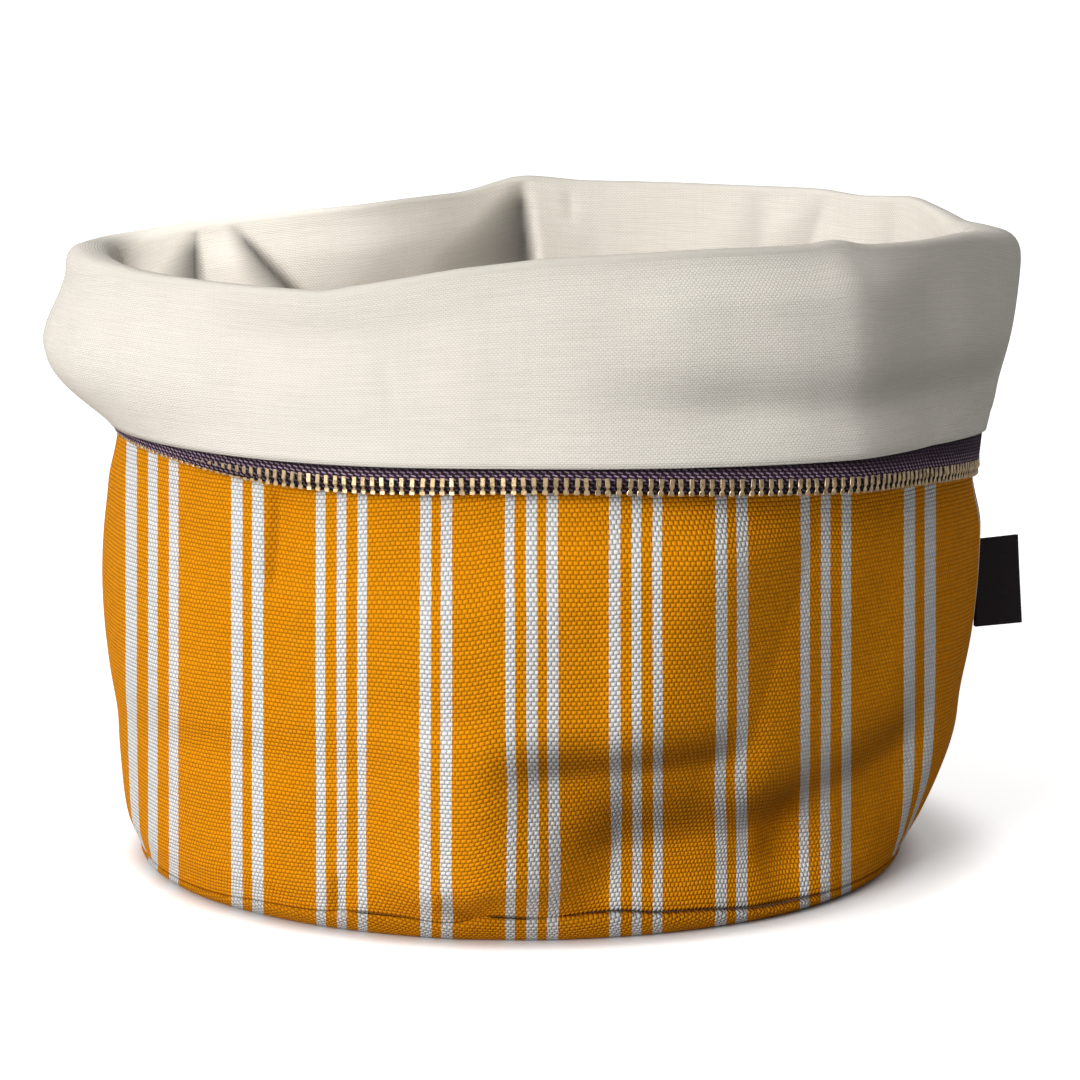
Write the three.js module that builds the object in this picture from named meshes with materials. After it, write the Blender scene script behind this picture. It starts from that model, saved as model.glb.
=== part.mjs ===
// Round cloth bread bag with its zipped mouth turned down into a cuff.
//
// The striped canvas outside and the cream lining inside run up the wall together, turn over the rim and come
// down again as the cuff, where the lining shows. Half a metal zip hangs from the cuff's lower edge.
// Millimetres, +Z up. The origin is the middle of the base, on the surface that the bag stands on.
// Azimuth 0 faces the front, which is -Y, and azimuth 90 faces +X, where the side label is sewn in.

import * as THREE from "three";

// Cloth
const CANVAS_THICKNESS = 1.2;
const LINING_THICKNESS = 1.0;
const LAYER_GAP = 0.35;
const SEAM_GAP = 0.3;

// Base
const BASE_FLAT_RADIUS = 96.5;
const BASE_SEAM_RADIUS = 99.4;
const BASE_SEAM_HEIGHT = 3.2;
const BASE_EDGE_STEPS = 3;

// Wall: radius of the canvas face at each height, from the base seam to the widest part
const WALL = [
  { height: 3.5, radius: 99.6 },
  { height: 7, radius: 100.9 },
  { height: 12, radius: 103.6 },
  { height: 23, radius: 106.8 },
  { height: 39, radius: 110.4 },
  { height: 60, radius: 112.8 },
  { height: 85, radius: 113.0 },
  { height: 110, radius: 110.8 },
];
const WAIST_BELOW_ZIP = 14;
const WAIST_ABOVE_ZIP = 3;
const LEAN = 5;
const LEAN_HEIGHT = 38;

// Rim: the fold where the wall turns over into the cuff
const FOLD_HALF_WIDTH = 5.5;
const FOLD_RISE = 5.5;

// Cuff all round: rim radius and height at the top of the fold, how far the cuff puffs out, the radius and
// height of its lower edge, the wall's radius behind that edge, and how much of the zip hangs below it
const CUFF = [
  { azimuth: -176, rim: 112.0, top: 164.3, puff: 2.0, edge: 114.0, drop: 117.0, waist: 107.5, zip: 8.0 },
  { azimuth: -162, rim: 109.0, top: 160.6, puff: 2.5, edge: 113.8, drop: 116.8, waist: 107.3, zip: 7.5 },
  { azimuth: -148, rim: 107.5, top: 158.3, puff: 3.0, edge: 113.5, drop: 116.5, waist: 107.0, zip: 7.0 },
  { azimuth: -122, rim: 111.5, top: 156.0, puff: 4.5, edge: 112.0, drop: 115.5, waist: 106.0, zip: 5.5 },
  { azimuth: -90, rim: 114.0, top: 156.8, puff: 8.0, edge: 110.5, drop: 114.5, waist: 105.2, zip: 4.8 },
  { azimuth: -60, rim: 112.0, top: 155.8, puff: 7.5, edge: 112.5, drop: 115.8, waist: 106.5, zip: 4.8 },
  { azimuth: -28, rim: 110.5, top: 154.3, puff: 5.0, edge: 114.0, drop: 116.2, waist: 107.5, zip: 6.6 },
  { azimuth: 4, rim: 107.0, top: 163.0, puff: 4.5, edge: 114.3, drop: 117.0, waist: 107.5, zip: 6.2 },
  { azimuth: 39, rim: 110.5, top: 164.5, puff: 2.5, edge: 114.0, drop: 116.0, waist: 107.5, zip: 8.4 },
  { azimuth: 65, rim: 111.0, top: 163.0, puff: 0.5, edge: 113.8, drop: 114.2, waist: 107.5, zip: 10.6 },
  { azimuth: 90, rim: 115.5, top: 160.6, puff: 0.0, edge: 113.8, drop: 111.5, waist: 107.5, zip: 12.0 },
  { azimuth: 110, rim: 111.5, top: 163.2, puff: 1.0, edge: 113.5, drop: 113.0, waist: 107.5, zip: 11.0 },
  { azimuth: 145, rim: 109.0, top: 162.3, puff: 3.0, edge: 113.8, drop: 116.0, waist: 107.5, zip: 9.0 },
];

// Soft troughs (negative depth) and ridges (positive) in the wall: middle, half extents, tilt and depth
const WALL_FOLDS = [
  { azimuth: 16, height: 47, halfAngle: 20, halfHeight: 6, tilt: 0.0, depth: -2.6 },
  { azimuth: 10, height: 64, halfAngle: 18, halfHeight: 13, tilt: 0.0, depth: 1.6 },
  { azimuth: 42, height: 33, halfAngle: 22, halfHeight: 7, tilt: -0.1, depth: -2.2 },
  { azimuth: -46, height: 43, halfAngle: 26, halfHeight: 6, tilt: 0.1, depth: -1.6 },
  { azimuth: -37, height: 99, halfAngle: 7, halfHeight: 11, tilt: 0.0, depth: -2.2 },
  { azimuth: -9, height: 26, halfAngle: 8, halfHeight: 20, tilt: 0.0, depth: 1.8 },
  { azimuth: 22, height: 88, halfAngle: 12, halfHeight: 22, tilt: 0.2, depth: 1.6 },
  { azimuth: 86, height: 94, halfAngle: 12, halfHeight: 8, tilt: 0.0, depth: -1.6 },
  { azimuth: 112, height: 46, halfAngle: 24, halfHeight: 9, tilt: 0.1, depth: -2.2 },
  { azimuth: 158, height: 66, halfAngle: 14, halfHeight: 26, tilt: -0.2, depth: 1.8 },
  { azimuth: -168, height: 40, halfAngle: 24, halfHeight: 8, tilt: 0.0, depth: -2.2 },
  { azimuth: -132, height: 78, halfAngle: 13, halfHeight: 20, tilt: 0.2, depth: -1.8 },
  { azimuth: -100, height: 44, halfAngle: 18, halfHeight: 9, tilt: -0.1, depth: -1.8 },
  { azimuth: -128, height: 145, halfAngle: 6, halfHeight: 26, tilt: 0.0, depth: -2.6 },
  { azimuth: 146, height: 140, halfAngle: 9, halfHeight: 26, tilt: 0.1, depth: -1.8 },
];

// The same in the cuff
const CUFF_FOLDS = [
  { azimuth: 57, height: 138, halfAngle: 9, halfHeight: 18, tilt: 0.0, depth: -2.2 },
  { azimuth: 22, height: 146, halfAngle: 14, halfHeight: 12, tilt: -0.2, depth: 1.2 },
  { azimuth: -34, height: 138, halfAngle: 10, halfHeight: 14, tilt: 0.3, depth: -1.2 },
  { azimuth: 124, height: 140, halfAngle: 10, halfHeight: 14, tilt: 0.0, depth: -2.0 },
  { azimuth: -164, height: 138, halfAngle: 11, halfHeight: 14, tilt: -0.2, depth: -1.8 },
  { azimuth: -122, height: 136, halfAngle: 12, halfHeight: 12, tilt: 0.0, depth: -1.6 },
];

// Pinches in the wall below the rim. On its way down each slants and widens, in degrees for each millimetre,
// and deepens, in millimetres for each, up to its widest and deepest. One side slopes, the other is steep.
const PINCHES = [
  { azimuth: -176, slant: 0.1, widen: 0.8, widest: 15, deepen: 0.25, deepest: 5 },
  { azimuth: -134, slant: -0.5, widen: 0.5, widest: 7, deepen: 0.2, deepest: 3 },
];
const PINCH_STEEP_SIDE = 4;
const PINCH_FADE = 16;

// Folds and pinches die out over these distances next to a seam, the rim and the cuff's lower edge
const CALM_ABOVE_SEAM = 12;
const CALM_BELOW_RIM = 11;
const CALM_ABOVE_HEM = 8;

// Zip
const TAPE_THICKNESS = 1.0;
const TAPE_TILT = 0.1;
const TOOTH_PITCH = 2.4;
const TOOTH_DEPTH = 3.4;
const TOOTH_HALF_THICKNESS = 1.25;
const CORD_DEPTH = 1.4;
const CORD_HALF_THICKNESS = 0.8;
const TEETH_BEYOND_TAPE = 0.3;

// Side label, a ribbon folded in half with its two ends in the side seam
const LABEL_WIDTH = 23;
const LABEL_REACH = 11;
const LABEL_LAYER = 0.6;
const LABEL_LAYER_GAP = 0.5;
const LABEL_AZIMUTH = 90;
const LABEL_MIDDLE_HEIGHT = 70.5;
const LABEL_SKEW = 0.06;
const LABEL_BACK = 0.2;
const LABEL_CLEARANCE = 0.6;
const LABEL_BEND_STEPS = 6;

// Mesh
const COLUMNS_PER_HALF = 30;
const WALL_STEPS = 9;
const FOLD_STEPS = 4;
const CUFF_STEPS = 5;
const TAPE_STEPS = 2;

const HALVES = [
  { name: "front", from: -90, to: 90 },
  { name: "back", from: 90, to: 270 },
];

const FINISHES = {
  canvas: { color: 0xe8930f, roughness: 0.9, metalness: 0 },
  lining: { color: 0xeee6d6, roughness: 0.9, metalness: 0 },
  tape: { color: 0x3a2735, roughness: 0.8, metalness: 0 },
  brass: { color: 0xb8924e, roughness: 0.35, metalness: 1 },
  ribbon: { color: 0x241a1c, roughness: 0.6, metalness: 0 },
};

const mix = THREE.MathUtils.lerp;
const ease = THREE.MathUtils.smoothstep;
const radians = THREE.MathUtils.degToRad;

// Smooth curve through a table's rows: the value of one column at a position along another.
function alongTable(rows, along, column, at) {
  let i = 1;
  while (i < rows.length - 3 && rows[i + 1][along] <= at) i += 1;
  const [before, start, end, after] = [rows[i - 1], rows[i], rows[i + 1], rows[i + 2]];
  const span = end[along] - start[along];
  const slopeIn = (end[column] - before[column]) / (end[along] - before[along]);
  const slopeOut = (after[column] - start[column]) / (after[along] - start[along]);
  const s = (at - start[along]) / span;
  const rest = 1 - s;
  return (
    start[column] * (1 + 2 * s) * rest * rest +
    end[column] * (3 - 2 * s) * s * s +
    span * s * rest * (slopeIn * rest - slopeOut * s)
  );
}

// The cuff's table carried on past both ends, so that it closes on itself.
const turned = (rows, by) => rows.map((row) => ({ ...row, azimuth: row.azimuth + by }));
const CUFF_ROUND = [...turned(CUFF.slice(-2), -360), ...CUFF, ...turned(CUFF, 360)];

// The wall's table carried on past both ends by a mirrored row, so that it is upright at both.
const mirrored = (end, next) => ({ height: 2 * end.height - next.height, radius: next.radius });
const WALL_EXTENDED = [mirrored(WALL[0], WALL[1]), ...WALL, mirrored(WALL.at(-1), WALL.at(-2))];

const cuffAt = (azimuth, column) => alongTable(CUFF_ROUND, "azimuth", column, azimuth);

// Shortest way round from one azimuth to another, in degrees.
const turnBetween = (from, to) => THREE.MathUtils.euclideanModulo(to - from + 180, 360) - 180;

function foldDepth(folds, azimuth, height) {
  return folds.reduce((sum, fold) => {
    const turn = turnBetween(fold.azimuth, azimuth);
    const across = turn / fold.halfAngle;
    const up = (height - fold.height - fold.tilt * turn) / fold.halfHeight;
    return sum + fold.depth * Math.exp(-across * across - up * up);
  }, 0);
}

// Every radius below is that of the line between canvas and lining.
const CANVAS_SIDE = LAYER_GAP / 2 + CANVAS_THICKNESS;

// How far the pinches push the wall out at a distance below the rim.
function pinchDepth(azimuth, below) {
  return PINCHES.reduce((sum, pinch) => {
    const turn = turnBetween(pinch.azimuth + pinch.slant * below, azimuth);
    const width = turn < 0 ? PINCH_STEEP_SIDE : Math.min(pinch.widen * below, pinch.widest);
    const share = Math.max(0, 1 - Math.abs(turn) / width);
    return sum + share * Math.min(pinch.deepen * below, pinch.deepest);
  }, 0);
}

function wallRadius(azimuth, height) {
  const top = cuffAt(azimuth, "top");
  const rimFoot = top - FOLD_RISE;
  const zipEnd = cuffAt(azimuth, "drop") - cuffAt(azimuth, "zip");
  const waistStart = zipEnd - WAIST_BELOW_ZIP;
  const waistEnd = zipEnd + WAIST_ABOVE_ZIP;
  const canvas = alongTable(WALL_EXTENDED, "height", "radius", Math.min(height, WALL.at(-1).height));
  const waist = mix(canvas - CANVAS_SIDE, cuffAt(azimuth, "waist"), ease(height, waistStart, waistEnd));
  const upper = mix(waist, cuffAt(azimuth, "rim") - FOLD_HALF_WIDTH, ease(height, waistEnd, rimFoot));
  const calmAtSeam = ease(height, BASE_SEAM_HEIGHT, BASE_SEAM_HEIGHT + CALM_ABOVE_SEAM);
  const calmAtRim = 1 - ease(height, rimFoot - CALM_BELOW_RIM, rimFoot);
  const folds = foldDepth(WALL_FOLDS, azimuth, height) * calmAtSeam * calmAtRim;
  const pinchFade = ease(height, waistEnd, waistEnd + PINCH_FADE);
  return upper + folds + pinchDepth(azimuth, Math.max(0, top - height)) * pinchFade;
}

// One upright section of the bag: the stops climb the wall, turn over the rim and come down the cuff.
const SEAM_STOP = 0;
const RIM_STOP = 1;
const CUFF_STOP = 2;
const HEM_STOP = 3;
function section(azimuth, stop) {
  const rim = cuffAt(azimuth, "rim");
  const foot = cuffAt(azimuth, "top") - FOLD_RISE;
  if (stop <= RIM_STOP) {
    const height = mix(BASE_SEAM_HEIGHT + SEAM_GAP, foot, stop);
    return { radius: wallRadius(azimuth, height), height };
  }
  if (stop <= CUFF_STOP) {
    const turn = Math.PI * (stop - RIM_STOP);
    return { radius: rim - FOLD_HALF_WIDTH * Math.cos(turn), height: foot + FOLD_RISE * Math.sin(turn) };
  }
  const down = stop - CUFF_STOP;
  const drop = cuffAt(azimuth, "drop");
  const height = mix(foot, drop, down);
  const outer = mix(rim + FOLD_HALF_WIDTH, cuffAt(azimuth, "edge"), down * down);
  const puff = cuffAt(azimuth, "puff") * Math.sin(Math.PI * down) ** 2;
  const calm = ease(height, drop, drop + CALM_ABOVE_HEM) * (1 - ease(height, foot - CALM_BELOW_RIM, foot));
  return { radius: outer + puff + foldDepth(CUFF_FOLDS, azimuth, height) * calm, height };
}

// A point at an azimuth, radius and height, about an axis that leans to the right as it rises.
function around(azimuth, { radius, height }) {
  const turn = radians(azimuth);
  const axis = LEAN * ease(height, 0, LEAN_HEIGHT);
  return new THREE.Vector3(axis + radius * Math.sin(turn), -radius * Math.cos(turn), height);
}

// Direction square to the cloth, towards its canvas side.
const PROBE_ANGLE = 2;
const PROBE_STOP = 0.01;
function facing(place, azimuth, stop) {
  const sideways = place(azimuth + PROBE_ANGLE, stop).sub(place(azimuth - PROBE_ANGLE, stop));
  const onward = place(azimuth, stop + PROBE_STOP).sub(place(azimuth, stop - PROBE_STOP));
  return sideways.cross(onward).normalize();
}

// Azimuth at a share of the way along one half, which stops short of the side seams.
const SEAM_INSET = THREE.MathUtils.radToDeg(SEAM_GAP / 2 / BASE_SEAM_RADIUS);
const alongHalf = ({ from, to }, share) => mix(from + SEAM_INSET, to - SEAM_INSET, share);

// Cuts the back face of a box along the same diagonals as its front, so that stacked layers stay apart.
// Each of its cells is two triangles, a b d and b c d, which become a b c and a c d.
function matchDiagonals(geometry) {
  const index = geometry.getIndex();
  const back = geometry.groups.at(-1);
  const cellCorners = 6;
  for (let i = back.start; i < back.start + back.count; i += cellCorners) {
    const [a, b, d, , c] = index.array.slice(i, i + cellCorners);
    index.array.set([a, b, c, a, c, d], i);
  }
}

// A sheet of cloth: a box whose length goes round the bag, whose height follows the stops of a section
// and whose depth is the cloth's thickness, from the near to the far distance on the canvas side.
function sheet(half, stops, near, far, place) {
  const rows = stops.length - 1;
  const geometry = new THREE.BoxGeometry(1, 1, 1, COLUMNS_PER_HALF, rows, 1);
  matchDiagonals(geometry);
  const points = geometry.getAttribute("position");
  for (let i = 0; i < points.count; i += 1) {
    const azimuth = alongHalf(half, points.getX(i) + 0.5);
    const stop = stops[Math.round((points.getY(i) + 0.5) * rows)];
    const away = mix(near, far, points.getZ(i) + 0.5);
    const point = place(azimuth, stop).addScaledVector(facing(place, azimuth, stop), away);
    points.setXYZ(i, point.x, point.y, point.z);
  }
  return geometry;
}

const steps = (from, to, count) => Array.from({ length: count }, (_, i) => mix(from, to, i / count));
const PANEL_STOPS = [
  ...steps(SEAM_STOP, RIM_STOP, WALL_STEPS),
  ...steps(RIM_STOP, CUFF_STOP, FOLD_STEPS),
  ...steps(CUFF_STOP, HEM_STOP, CUFF_STEPS),
  HEM_STOP,
];
const onPanel = (azimuth, stop) => around(azimuth, section(azimuth, stop));

// The zip hangs from the cuff's lower edge: stop 0 is just under the cloth and 1 is the end of the teeth.
function onZip(azimuth, stop) {
  const { radius, height } = section(azimuth, HEM_STOP);
  const hang = SEAM_GAP + stop * cuffAt(azimuth, "zip");
  return around(azimuth, { radius: radius - TAPE_TILT * hang, height: height - hang });
}

function tapeGeometry(half) {
  const end = (azimuth) => 1 - (TOOTH_DEPTH + TEETH_BEYOND_TAPE) / cuffAt(azimuth, "zip");
  const place = (azimuth, share) => onZip(azimuth, share * end(azimuth));
  const shares = [...steps(0, 1, TAPE_STEPS), 1];
  return sheet(half, shares, -TAPE_THICKNESS / 2, TAPE_THICKNESS / 2, place);
}

// A row of teeth on the tape's edge cord: a box whose columns are by turns a tooth and the cord between two.
function teethGeometry(half) {
  const length = radians(half.to - half.from) * cuffAt((half.from + half.to) / 2, "edge");
  const columns = 2 * Math.round(length / TOOTH_PITCH);
  const geometry = new THREE.BoxGeometry(1, 1, 1, columns, 1, 1);
  const points = geometry.getAttribute("position");
  for (let i = 0; i < points.count; i += 1) {
    const column = Math.round((points.getX(i) + 0.5) * columns);
    const azimuth = alongHalf(half, column / columns);
    const tooth = column % 2 === 1;
    const depth = tooth ? TOOTH_DEPTH : CORD_DEPTH;
    const halfThickness = tooth ? TOOTH_HALF_THICKNESS : CORD_HALF_THICKNESS;
    const stop = 1 - (TOOTH_DEPTH - depth * (points.getY(i) + 0.5)) / cuffAt(azimuth, "zip");
    const point = onZip(azimuth, stop);
    point.addScaledVector(facing(onZip, azimuth, stop), 2 * halfThickness * points.getZ(i));
    points.setXYZ(i, point.x, point.y, point.z);
  }
  return geometry;
}

// One face of the base from its middle to the seam, at a depth inside the canvas's outer face.
function baseFace(depth) {
  const wide = BASE_SEAM_RADIUS - BASE_FLAT_RADIUS - depth;
  const tall = BASE_SEAM_HEIGHT - depth;
  const edge = [...steps(0, Math.PI / 2, BASE_EDGE_STEPS), Math.PI / 2].map((turn) => {
    const radius = BASE_FLAT_RADIUS + wide * Math.sin(turn);
    return new THREE.Vector2(radius, BASE_SEAM_HEIGHT - tall * Math.cos(turn));
  });
  return [new THREE.Vector2(0, depth), ...edge];
}

// The base is a disc whose edge turns up to the seam.
function baseGeometry(depth, thickness) {
  const profile = [...baseFace(depth), ...baseFace(depth + thickness).reverse()];
  return new THREE.LatheGeometry(profile, 2 * COLUMNS_PER_HALF).rotateX(Math.PI / 2);
}

// The label's folded ribbon: a hairpin outline drawn out along the seam and skewed to raise its free end.
function labelGeometry() {
  const half = LABEL_LAYER + LABEL_LAYER_GAP / 2;
  const bend = LABEL_REACH - half;
  const outline = new THREE.Shape();
  outline.moveTo(0, -half);
  outline.lineTo(bend, -half);
  outline.absarc(bend, 0, half, -Math.PI / 2, Math.PI / 2, false);
  outline.lineTo(0, half);
  outline.lineTo(0, half - LABEL_LAYER);
  outline.lineTo(bend, half - LABEL_LAYER);
  outline.absarc(bend, 0, half - LABEL_LAYER, Math.PI / 2, -Math.PI / 2, true);
  outline.lineTo(0, LABEL_LAYER - half);
  outline.closePath();
  const geometry = new THREE.ExtrudeGeometry(outline, {
    depth: LABEL_WIDTH,
    bevelEnabled: false,
    curveSegments: LABEL_BEND_STEPS,
  });
  geometry.translate(0, 0, -LABEL_WIDTH / 2);
  const points = geometry.getAttribute("position");
  for (let i = 0; i < points.count; i += 1) {
    const [reach, along] = [points.getX(i), points.getZ(i)];
    points.setX(i, reach * (1 - (LABEL_SKEW * along) / LABEL_REACH));
    points.setZ(i, along + LABEL_SKEW * reach);
  }
  return geometry;
}

const bag = new THREE.Group();

function add(name, geometry, finish) {
  const mesh = new THREE.Mesh(geometry, new THREE.MeshStandardMaterial(finish));
  mesh.name = name;
  bag.add(mesh);
  return mesh;
}

const canvasNear = LAYER_GAP / 2;
const canvasFar = canvasNear + CANVAS_THICKNESS;
const liningFar = -LAYER_GAP / 2;
const liningNear = liningFar - LINING_THICKNESS;
for (const half of HALVES) {
  add(`canvas_${half.name}`, sheet(half, PANEL_STOPS, canvasNear, canvasFar, onPanel), FINISHES.canvas);
  add(`lining_${half.name}`, sheet(half, PANEL_STOPS, liningNear, liningFar, onPanel), FINISHES.lining);
  add(`zip_tape_${half.name}`, tapeGeometry(half), FINISHES.tape);
  add(`zip_teeth_${half.name}`, teethGeometry(half), FINISHES.brass);
}
add("canvas_base", baseGeometry(0, CANVAS_THICKNESS), FINISHES.canvas);
add("lining_base", baseGeometry(CANVAS_THICKNESS + LAYER_GAP, LINING_THICKNESS), FINISHES.lining);

const label = add("side_label", labelGeometry(), FINISHES.ribbon);
const labelRoot = wallRadius(LABEL_AZIMUTH, LABEL_MIDDLE_HEIGHT) + CANVAS_SIDE + LABEL_CLEARANCE;
label.position.copy(around(LABEL_AZIMUTH, { radius: labelRoot, height: LABEL_MIDDLE_HEIGHT }));
label.rotation.z = LABEL_BACK;

export default bag;
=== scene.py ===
import math
from collections import namedtuple

import bmesh
import bpy
import numpy as np
from bpy.props import FloatProperty, FloatVectorProperty, PointerProperty
from bpy.types import Operator, Panel, PropertyGroup
from mathutils import Matrix, Vector


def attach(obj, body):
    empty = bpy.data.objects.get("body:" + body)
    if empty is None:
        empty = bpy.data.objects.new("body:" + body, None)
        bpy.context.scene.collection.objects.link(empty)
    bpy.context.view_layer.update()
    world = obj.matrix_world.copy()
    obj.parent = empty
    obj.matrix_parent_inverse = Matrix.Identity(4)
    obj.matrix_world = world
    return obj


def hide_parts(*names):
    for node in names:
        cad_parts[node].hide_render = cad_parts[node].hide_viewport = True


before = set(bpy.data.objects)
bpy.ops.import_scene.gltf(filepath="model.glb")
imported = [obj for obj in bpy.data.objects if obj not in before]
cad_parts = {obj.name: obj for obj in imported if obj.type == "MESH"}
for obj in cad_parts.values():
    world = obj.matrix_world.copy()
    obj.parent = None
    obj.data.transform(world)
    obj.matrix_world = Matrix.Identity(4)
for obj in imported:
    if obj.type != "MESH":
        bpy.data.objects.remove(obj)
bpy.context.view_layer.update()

bl_info = {
    "name": "Round Cloth Bread Bag",
    "version": (1, 0, 0),
    "blender": (4, 5, 0),
    "location": "3D View > Sidebar > Bread Bag",
    "description": "Round striped bread bag with its lining turned down as a cuff and half an open metal zip",
    "category": "Add Mesh",
}

# Sizes below are millimetres and degrees. Azimuth 0 faces the front, -Y, and azimuth 90 faces +X.
MM = 0.001

LAYER_GAP = 0.2
LEAN = 5.0
LEAN_HEIGHT = 38.0
# Lengths round the bag are measured at this radius
ARC_RADIUS = 112.0

# Wall: radius of the line between canvas and lining at each height
Wall = namedtuple("Wall", "height radius")
WALL = [
    Wall(0.0, 100.0),
    Wall(3.5, 98.7),
    Wall(7.0, 100.0),
    Wall(12.0, 102.7),
    Wall(23.0, 105.9),
    Wall(39.0, 109.5),
    Wall(60.0, 111.9),
    Wall(85.0, 112.1),
    Wall(110.0, 109.9),
    Wall(135.0, 112.1),
]
# The wall reads its table between these heights
WALL_FOOT = 3.5
WALL_TOP = 110.0
WAIST_BELOW_ZIP = 14.0
WAIST_ABOVE_ZIP = 3.0
SIDE_SEAM_DIP = 0.9
SIDE_SEAM_HALF_WIDTH = 1.6

# Seam between wall and base, which wanders up and down
Seam = namedtuple("Seam", "azimuth height")
SEAM = [
    Seam(-178, 4.8),
    Seam(-130, 5.4),
    Seam(-90, 3.6),
    Seam(-62, 2.8),
    Seam(-48, 3.2),
    Seam(-40, 4.3),
    Seam(-29, 4.8),
    Seam(-22, 6.2),
    Seam(-16, 5.9),
    Seam(-12, 4.9),
    Seam(-8, 5.2),
    Seam(-3.4, 7.3),
    Seam(4, 6.2),
    Seam(14, 6.6),
    Seam(19, 5.5),
    Seam(27, 4.7),
    Seam(37, 3.0),
    Seam(60, 2.6),
    Seam(90, 3.4),
    Seam(130, 5.2),
]
SEAM_ROLL = 1.0
SEAM_ROLL_HEIGHT = 1.9
SEAM_SHADE = 0.85
SEAM_SHADE_HEIGHT = 1.5

# Base: a flat disc, whose edge turns up to the seam and ends in a lip behind the wall
BASE_FLAT_RADIUS = 94.0
BASE_SEAM_RADIUS = 99.4
BASE_RINGS = (0.0, 24.0, 48.0, 72.0, 88.0, BASE_FLAT_RADIUS)
BASE_TURN_STEPS = 6
BASE_LIP = 0.5
BASE_EDGE_SHADE = 0.3
BASE_STEPS = 240
POLE_MERGE = 1e-4

# Height of the rim, which has corners
Rim = namedtuple("Rim", "azimuth height")
RIM = [
    Rim(-177, 165.5),
    Rim(-169, 161.0),
    Rim(-152, 158.5),
    Rim(-133, 157.0),
    Rim(-110, 156.5),
    Rim(-88, 157.5),
    Rim(-60, 156.0),
    Rim(-27, 155.5),
    Rim(-10, 161.5),
    Rim(1, 164.0),
    Rim(20, 165.5),
    Rim(34, 165.5),
    Rim(38.5, 166.5),
    Rim(43, 164.5),
    Rim(54, 164.0),
    Rim(66, 164.0),
    Rim(90, 162.0),
    Rim(103, 161.0),
    Rim(116, 165.0),
    Rim(127.5, 163.5),
    Rim(135, 164.5),
    Rim(151, 164.0),
    Rim(174, 164.0),
    Rim(179, 165.0),
]
RIM_CORNER = 1.6
RIM_CORNER_STEPS = 5

# Rim and cuff all round: radius of the rim, half width of its fold and how much lower the fold's outer side
# is, puff of the cuff, radius and height of its hem, the wall's radius behind the hem, how much of the zip
# hangs below it, and how far the teeth lie behind the tape
Cuff = namedtuple("Cuff", "azimuth rim fold slope puff edge drop waist zip behind")
CUFF = [
    Cuff(-176, 112.0, 1.3, 0.0, 7.0, 114.5, 117.0, 109.5, 8.0, 0.0),
    Cuff(-162, 109.0, 1.3, 0.0, 6.0, 114.3, 116.8, 109.3, 7.5, 0.0),
    Cuff(-148, 107.5, 1.3, 0.0, 3.0, 114.0, 116.5, 109.0, 7.0, 0.0),
    Cuff(-122, 111.5, 1.8, 0.0, 5.0, 112.0, 115.5, 107.5, 4.0, 0.5),
    Cuff(-90, 114.0, 5.9, 0.0, 10.5, 109.4, 115.2, 106.7, 2.6, 0.4),
    Cuff(-60, 112.0, 1.8, 0.0, 6.0, 112.8, 115.8, 108.6, 3.2, 0.6),
    Cuff(-28, 110.5, 1.3, 0.0, 2.0, 114.5, 116.2, 110.0, 6.6, 0.0),
    Cuff(4, 107.5, 1.3, 0.0, 1.0, 114.8, 117.0, 110.0, 6.2, 0.0),
    Cuff(39, 111.0, 1.3, 0.0, 0.5, 114.5, 116.0, 110.3, 8.4, 0.0),
    Cuff(65, 112.0, 2.2, 0.4, 0.5, 114.2, 114.2, 109.8, 10.6, 0.0),
    Cuff(90, 114.6, 7.0, 1.5, 0.6, 113.7, 111.5, 109.2, 12.0, 0.0),
    Cuff(110, 112.0, 2.2, 0.5, 1.0, 114.0, 113.0, 109.4, 11.0, 0.0),
    Cuff(145, 109.0, 1.3, 0.0, 3.0, 114.3, 116.0, 109.5, 9.0, 0.0),
]
PUFF_LOW = 1.35
PUFF_ROUND = 1.2
FOLD_SQUARENESS = 0.75
CUFF_HANG = 1.5

# Soft troughs (negative depth) and ridges (positive): middle, half extents, tilt and depth
Fold = namedtuple("Fold", "azimuth height half_angle half_height tilt depth")
WALL_FOLDS = [
    Fold(47, 58, 28, 44, 0.0, -9.0),
    Fold(40, 20, 26, 22, 0.0, -3.0),
    Fold(-46, 43, 26, 6, 0.1, -1.6),
    Fold(-37, 99, 7, 11, 0.0, -1.0),
    Fold(20, 96, 12, 14, 0.0, 1.8),
    Fold(90, 84, 28, 26, 0.0, 1.4),
    Fold(-90, 95, 28, 20, 0.0, -0.8),
    Fold(112, 46, 24, 9, 0.1, -2.2),
    Fold(158, 66, 14, 26, -0.2, 1.8),
    Fold(-168, 40, 24, 8, 0.0, -2.2),
    Fold(-132, 78, 13, 20, 0.2, -1.8),
    Fold(-100, 44, 18, 9, -0.1, -1.8),
    Fold(-128, 145, 6, 26, 0.0, -2.6),
    Fold(-157, 142, 11, 30, 0.0, -3.2),
    Fold(146, 140, 9, 26, 0.1, -1.8),
]
CUFF_FOLDS = [
    Fold(57, 142, 9, 18, 0.0, -1.8),
    Fold(-28, 142, 26, 30, 0.0, -1.6),
    Fold(-34, 138, 10, 14, 0.3, -1.2),
    Fold(124, 140, 10, 14, 0.0, -2.0),
    Fold(-164, 138, 11, 14, -0.2, -1.8),
    Fold(-122, 136, 12, 12, 0.0, -1.6),
]
CALM_ABOVE_SEAM = 12.0
CALM_BELOW_RIM = 11.0
CALM_BELOW_ZIP = 16.0
CALM_ABOVE_HEM = 8.0

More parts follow.
